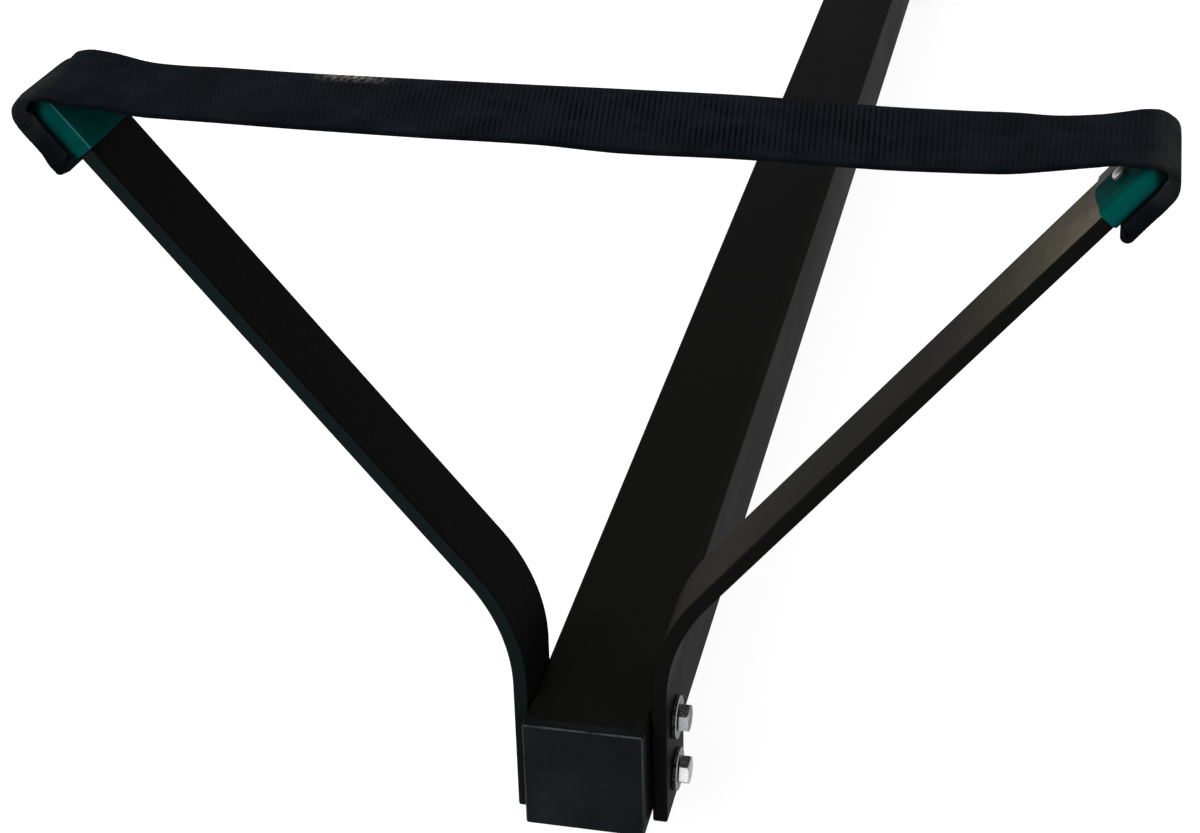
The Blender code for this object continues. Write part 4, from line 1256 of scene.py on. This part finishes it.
def drill_and_ease(bar, holes, depth, edge_radius):
    """Drills a bar and rounds its edges. A hole is a diameter and the frame of its middle."""
    tools, past, eased_from = [], 0.002, math.radians(60)
    reach = depth / 2 + past
    for diameter, place in holes:
        radius = diameter / 2 + HOLE_CLEARANCE
        mesh = ring_mesh("drill", [(0, -reach), (radius, -reach), (radius, reach), (0, reach)], 32)
        mesh.transform(place)
        tools.append(show(mesh))
        modify(bar, "BOOLEAN", solver="EXACT", object=tools[-1])
    if edge_radius:
        modify(bar, "BEVEL", width=edge_radius, segments=4, limit_method="ANGLE", angle_limit=eased_from)
    modify(bar, "WEIGHTED_NORMAL", keep_sharp=True)
    work_in(bar)
    for tool in tools:
        bpy.data.objects.remove(tool)


class RACK_OT_arms(bpy.types.Operator):
    """Makes the four bent arms, drilled for their bolts and rivets"""

    bl_idname = "rack.arms"
    bl_label = "Arms"

    def execute(self, context):
        tree = bar_tree()
        foot = Vector((ARM_MIDDLE_X, 0, ARM_FOOT_Z))
        for end, way, side, sign in TIPS:
            y = way * CRADLE_Y
            mesh = made_by(
                tree,
                f"{end}_{side}_bent_arm",
                [Vector((sign * p.x, y, p.z)) for p in (foot, BEND_CORNER, ARM_TIP)],
                "black_powder_coat",
                angle=30,
                Width=ARM_WIDTH,
                Thickness=ARM_THICKNESS,
                Bend_Radius=ARM_MIDDLE_BEND,
                Bend_Steps=40,
            )
            arm = show(mesh)
            holes = [(RIVET_DIAMETER, rivet_place(end, side))]
            holes += [(BOLT_DIAMETER, place) for place in bolt_places(way, sign * ARM_MIDDLE_X).values()]
            drill_and_ease(arm, holes, ARM_THICKNESS, ARM_EDGE_RADIUS)
            settle(arm, "black_powder_coat", f"{end}_{side}_arm")
        return {"FINISHED"}


class RACK_OT_beam(bpy.types.Operator):
    """Makes the square beam tube, drilled for the cradle bolts"""

    bl_idname = "rack.beam"
    bl_label = "Beam"

    def execute(self, context):
        mesh = made_by(
            tube_tree(),
            "square_beam_tube",
            [(0, 0, 0), (0, 0, 1)],
            "black_powder_coat",
            angle=30,
            Size=BEAM_SIZE,
            Wall=0.003175,
            Corner_Radius=0.0015,
            Inside_Radius=0.00075,
            Corner_Steps=6,
            Length=2 * BEAM_END,
        )
        lying = Matrix.Translation((0, BEAM_END, BEAM_SIZE / 2)) @ Matrix.Rotation(math.pi / 2, 4, "X")
        mesh.transform(lying)
        beam = show(mesh)
        holes = [(BOLT_DIAMETER, place) for way in ENDS.values() for place in bolt_places(way).values()]
        drill_and_ease(beam, holes, BEAM_SIZE, 0)
        settle(beam, "black_powder_coat", "beam_tube")
        return {"FINISHED"}


class RACK_OT_end_plugs(bpy.types.Operator):
    """Dresses the moulded plug in each end of the beam"""

    bl_idname = "rack.end_plugs"
    bl_label = "End plugs"

    def execute(self, context):
        for end in ENDS:
            mesh = frame["nodes"][f"{end}_end_plug"].data.copy()
            mesh.name = f"{end}_moulded_plug"
            mesh.materials.clear()
            piece = show(mesh)
            modify(piece, "WELD", merge_threshold=WELD)
            shaded(work_in(piece), 40)
            modify(piece, "WEIGHTED_NORMAL", keep_sharp=True)
            work_in(piece)
            settle(piece, "charcoal_plastic", f"{end}_end_plug")
        return {"FINISHED"}


class RACK_OT_clamps(bpy.types.Operator):
    """Makes the square U-bolts with rolled threads, the flange nuts and the clamp plates"""

    bl_idname = "rack.clamps"
    bl_label = "Crossbar clamps"

    places = {"front": -U_BOLT_PITCH / 2, "rear": U_BOLT_PITCH / 2}

    def execute(self, context):
        tree = rod_tree()
        turns = random.Random(11)
        for end, way in ENDS.items():
            self.make_plate(end, way * CLAMP_Y)
            for place, off in self.places.items():
                y = way * CLAMP_Y + off
                self.make_u_bolt(tree, context.scene.rack_fasteners, end, place, y)
                for side, sign in SIDES.items():
                    mesh = self.nut_mesh(f"{end}_{place}_{side}_flange_nut")
                    spot = Matrix.Translation((sign * U_BOLT_HALF, y, NUT_SEAT_Z))
                    turned = Matrix.Rotation(turns.uniform(0, math.pi), 4, "Z")
                    mesh.transform(spot @ Matrix.Rotation(math.pi, 4, "X") @ turned)
                    settle(show(shaded(mesh, 30)), "zinc_plate", f"{end}_clamp_{place}_{side}_nut")
        return {"FINISHED"}

    def make_u_bolt(self, tree, bolts, end, place, y):
        """One rod up, over the beam and down again, bent to its two corners."""
        low, top, half = U_BOLT_END_Z, U_BOLT_TOP_Z, U_BOLT_HALF
        mesh = made_by(
            tree,
            f"{end}_{place}_square_u_bolt",
            [(-half, y, low), (-half, y, top), (half, y, top), (half, y, low)],
            "zinc_plate",
            angle=38,
            Diameter=U_BOLT_ROD,
            Bend_Radius=U_BOLT_BEND,
            Bend_Steps=10,
            Thread_Pitch=bolts.u_bolt_pitch,
            Thread_Depth=bolts.u_bolt_depth,
            Turns=bolts.u_bolt_turns,
            Rows_per_Turn=6,
            Plain_Rows=70,
            Steps_Around=24,
            Point=0.0008,
        )
        settle(show(mesh), "zinc_plate", f"{end}_clamp_{place}_u_bolt")

    def nut_mesh(self, name):
        """A hexagon nut with a flange at its seat, on Z from its seat upwards."""
        flats, height, rim, bore = 0.013, 0.0075, 0.0086, 0.0043
        rings = [(bore + 0.0005, 0), (rim - 0.0002, 0), (rim, 0.0002), (rim, 0.0007), (rim - 0.0003, 0.001)]
        rings += [hexagon(flats + 0.0002, 0.0019), hexagon(flats, 0.0023), hexagon(flats, height, 0.0003)]
        rings += [(flats / 2 - 0.0005, height), (bore + 0.0006, height)]
        rings += [(bore, height - 0.0006), (bore, 0.0005)]
        return ring_mesh(name, rings, 48, closed=True)

    def make_plate(self, end, y):
        """The plate under the crossbar: sheared bar with rounded corners and four punched holes."""
        half_x, half_y, corner, thickness, edge = 0.0431, 0.0475, 0.006, 0.0048, 0.0006
        top, bottom = CLAMP_PLATE_TOP, CLAMP_PLATE_TOP - thickness
        rows = [rounded_section(half_x, half_y, corner, z) for z in (bottom, top)]
        mesh = loft(f"{end}_clamp_bottom_plate", [[(0, 0, bottom)], *rows, [(0, 0, top)]])
        mesh.transform(Matrix.Translation((0, y, 0)))
        plate = show(mesh)
        holes = []
        for off in self.places.values():
            for sign in SIDES.values():
                spot = (sign * U_BOLT_HALF, y + off, top - thickness / 2)
                holes.append((U_BOLT_ROD, Matrix.Translation(spot)))
        drill_and_ease(plate, holes, thickness, edge)
        settle(plate, "black_powder_coat", f"{end}_clamp_plate")


class RACK_OT_stage(bpy.types.Operator):
    """Makes the pale floor, the soft lamps, the white surroundings and the camera"""

    bl_idname = "rack.stage"
    bl_label = "Stage"

    def execute(self, context):
        stage = context.scene.rack_stage
        self.make_floor(stage)
        self.make_world(context.scene, stage)
        self.make_lamps(context.scene, stage)
        self.make_camera(context.scene, stage)
        context.scene.view_settings.view_transform = "Standard"
        return {"FINISHED"}

    def make_floor(self, stage):
        reach, low = stage.floor_reach, cad_box[0].z - stage.floor_gap
        corners = [(x * reach, y * reach, low) for x, y in ((-1, -1), (1, -1), (1, 1), (-1, 1))]
        floor = show(new_mesh("floor", corners, faces=[(0, 1, 2, 3)]))
        paint = Paint("pale floor", stage.floor_colour)
        floor.data.materials.append(paint.done(0.9, 0.0))
        surface = Field(paint, paint.tree.nodes["Principled BSDF"].outputs[0])
        seen = paint.seen_by("Is Camera Ray") * stage.floor_glow
        glow = paint.add("ShaderNodeEmission", {"Strength": seen})
        white = paint.add("ShaderNodeEmission", {"Strength": 1.0})
        lit = paint.add("ShaderNodeAddShader", (surface, glow))
        mirror = paint.seen_by("Is Glossy Ray", "Is Transmission Ray")
        both = paint.add("ShaderNodeMixShader", (mirror, lit, white))
        paint.feed(paint.tree.nodes["Material Output"].inputs["Surface"], both)
        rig.stage(floor)

    def make_world(self, scene, stage):
        scene.world = bpy.data.worlds.new("soft surroundings")
        scene.world.use_nodes = True
        wiring = Wiring(scene.world.node_tree)
        back = wiring.tree.nodes["Background"].inputs
        seen = wiring.seen_by("Is Camera Ray", "Is Glossy Ray", "Is Transmission Ray")
        back["Color"].default_value = (1.0, 1.0, 1.0, 1.0)
        wiring.feed(back["Strength"], seen * (1.0 - stage.ambient) + stage.ambient)

    def make_lamps(self, scene, stage):
        middle = Vector((0, -CRADLE_Y, 0.15))
        for name, power, size, place in (
            ("key", stage.key_power, 2.2, (-1.6, -4.4, 2.6)),
            ("fill", stage.fill_power, 3.0, (3.2, -3.2, 1.6)),
        ):
            lamp = bpy.data.lights.new(name, "AREA")
            lamp.energy = power
            lamp.size = size
            holder = bpy.data.objects.new(name, lamp)
            holder.location = place
            holder.rotation_euler = (middle - Vector(place)).to_track_quat("-Z", "Y").to_euler()
            scene.collection.objects.link(holder)

    def make_camera(self, scene, stage):
        camera = bpy.data.cameras.new("camera")
        camera.lens = stage.lens
        camera.sensor_width = 36.0
        camera.clip_start = 0.05
        camera.clip_end = 200.0
        forward = Vector((-0.20058807, 0.85122296, -0.48495763))
        right = Vector((0.97591839, 0.21693174, -0.02288924))
        turn = Matrix((right, right.cross(forward), -forward)).transposed().to_4x4()
        scene.camera = bpy.data.objects.new("camera", camera)
        scene.camera.matrix_world = Matrix.Translation(stage.camera_place) @ turn
        scene.collection.objects.link(scene.camera)


def as_length(name, description, default):
    kind = {"min": 0.0, "subtype": "DISTANCE", "unit": "LENGTH", "precision": 5}
    return FloatProperty(name=name, description=description, default=default, **kind)


def as_colour(name, description, default):
    kind = {"min": 0.0, "max": 1.0, "size": 3, "subtype": "COLOR"}
    return FloatVectorProperty(name=name, description=description, default=default, **kind)


def as_share(name, description, default):
    kind = {"min": 0.0, "max": 1.0, "subtype": "FACTOR"}
    return FloatProperty(name=name, description=description, default=default, **kind)


def as_count(name, description, default, most):
    return IntProperty(name=name, description=description, default=default, min=1, max=most)


def as_power(name, description, default):
    return FloatProperty(name=name, description=description, default=default, min=0.0, unit="POWER")


class RackWebbing(bpy.types.PropertyGroup):
    width: as_length("Width", "Width of the slings' webbing", 0.0508)
    thickness: as_length("Thickness", "Thickness of the tubular webbing laid flat", WEB_THICKNESS)
    rib_pitch: as_length("Rib pitch", "Distance from one rib across the webbing to the next", 0.00206)
    rib_height: as_length("Rib height", "How far a rib stands above the groove beside it", 0.00015)
    yarn_pitch: as_length("Yarn pitch", "Distance between the yarns that run along the webbing", 0.0007)
    unevenness: as_length("Unevenness", "How far a rib strays from its place", 0.0006)
    selvage: as_length("Selvage", "Width of the smoother band along each edge", 0.0035)
    fray: as_length("Fray", "How far the edge's yarns stray in and out", 0.0005)
    crown: as_length("Crown", "How far the open tube stands out above and below at mid-span", 0.0011)
    arch_top: as_length("Arch top", "How far the webbing's middle stands over an arm's end", 0.00495)


class RackFasteners(bpy.types.PropertyGroup):
    bolt_pitch: as_length("Bolt pitch", "Distance between the threads of the cradle bolts", 0.00127)
    bolt_depth: as_length("Bolt thread depth", "Depth of the cradle bolts' thread", 0.0007)
    bolt_turns: as_count("Bolt turns", "Turns of thread on a cradle bolt", 20, 45)
    u_bolt_pitch: as_length("U-bolt pitch", "Distance between the threads of the U-bolts", 0.00125)
    u_bolt_depth: as_length("U-bolt thread depth", "Depth of the U-bolts' thread", 0.0007)
    u_bolt_turns: as_count("U-bolt turns", "Turns of thread on each leg of a U-bolt", 34, 60)


class RackFinish(bpy.types.PropertyGroup):
    coat_colour: as_colour("Coat", "Powder coat on the bars", (0.0017, 0.0017, 0.0016))
    coat_roughness: as_share("Coat roughness", "Roughness of the powder coat", 0.5)
    coat_gloss: as_share("Coat gloss", "Specular level of the powder coat", 0.009)
    # Painted reflection: the colour of the warm sheen painted on the right arms' upward faces.
    sheen_colour: as_colour("Road film", "Dried film on the coat", (0.37, 0.33, 0.225))
    # Painted light: the paler colour painted on the left arms' faces that turn along the beam.
    lit_edge_colour: as_colour("Sheared edges", "Thinner coat on sheared edges", (0.0074, 0.0136, 0.0144))
    plastic_colour: as_colour("Plastic", "Moulded end plugs", (0.0078, 0.0088, 0.0108))
    plastic_gloss: as_share("Plastic gloss", "Specular level of the plugs", 0.015)
    vinyl_colour: as_colour("Vinyl", "Sleeves on the arms' tips", (0.0004, 0.066, 0.058))
    vinyl_gloss: as_share("Vinyl gloss", "Specular level of the sleeves", 0.001)
    webbing_colour: as_colour("Webbing", "Yarn of the slings", (0.01, 0.013, 0.0174))
    webbing_gloss: as_share("Webbing gloss", "Specular level of the yarn", 0.01)
    zinc_colour: as_colour("Zinc", "Plating on bolts, washers, nuts and U-bolts", (0.5, 0.505, 0.505))
    rivet_colour: as_colour("Rivets", "Bright metal of the sling rivets", (0.95, 0.95, 0.95))


class RackStage(bpy.types.PropertyGroup):
    lens: FloatProperty(
        name="Lens", description="Focal length of the camera", default=69.42, min=1.0, unit="CAMERA"
    )
    camera_place: FloatVectorProperty(
        name="Camera", description="Where the camera stands", default=(0.1849, -2.2668, 0.6187), size=3,
        subtype="TRANSLATION", unit="LENGTH",
    )
    floor_gap: as_length("Floor gap", "Air between the rack's lowest point and the floor", 0.0002)
    floor_reach: as_length("Floor reach", "Half the side of the floor", 60.0)
    floor_colour: as_colour("Floor", "Colour of the floor", (0.6, 0.6, 0.6))
    floor_glow: as_share("Floor glow", "What the camera sees added to the lit floor", 0.75)
    ambient: as_share("Ambient", "Strength of the light from all round", 0.5)
    key_power: as_power("Key", "Power of the key lamp", 80.0)
    fill_power: as_power("Fill", "Power of the fill lamp", 30.0)


class RACK_PT_panel(bpy.types.Panel):
    """Lists the rack's sizes and colours and the buttons that make its pieces"""

    bl_idname = "RACK_PT_panel"
    bl_label = "Rowing Shell Car Rack"
    bl_space_type = "VIEW_3D"
    bl_region_type = "UI"
    bl_category = "Car Rack"

    def draw(self, context):
        for title, group, _ in SETTINGS:
            box = self.layout.box()
            box.label(text=title)
            settings = getattr(context.scene, group)
            for name in settings.__annotations__:
                box.prop(settings, name)
        for operator in OPERATORS:
            self.layout.operator(operator.bl_idname)


SETTINGS = (
    ("Webbing", "rack_webbing", RackWebbing),
    ("Fasteners", "rack_fasteners", RackFasteners),
    ("Finishes", "rack_finish", RackFinish),
    ("Stage", "rack_stage", RackStage),
)
OPERATORS = (
    RACK_OT_stage,
    RACK_OT_arms,
    RACK_OT_beam,
    RACK_OT_end_plugs,
    RACK_OT_tip_sleeves,
    RACK_OT_slings,
    RACK_OT_sling_rivets,
    RACK_OT_cradle_bolts,
    RACK_OT_clamps,
)


def register():
    for _, name, kind in SETTINGS:
        bpy.utils.register_class(kind)
        setattr(bpy.types.Scene, name, PointerProperty(type=kind))
    for kind in (*OPERATORS, RACK_PT_panel):
        bpy.utils.register_class(kind)


def unregister():
    for kind in (RACK_PT_panel, *OPERATORS):
        bpy.utils.unregister_class(kind)
    for _, name, kind in SETTINGS:
        delattr(bpy.types.Scene, name)
        bpy.utils.unregister_class(kind)


def main():
    register()
    for operator in OPERATORS:
        category, name = operator.bl_idname.split(".")
        getattr(getattr(bpy.ops, category), name)()
    visual_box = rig.bounds()
    sizes = {"cad": [list(corner) for corner in cad_box], "visual": [list(corner) for corner in visual_box]}
    with open("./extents.json", "w") as file:
        json.dump(sizes, file, indent=1)


if __name__ == "__main__":
    main()
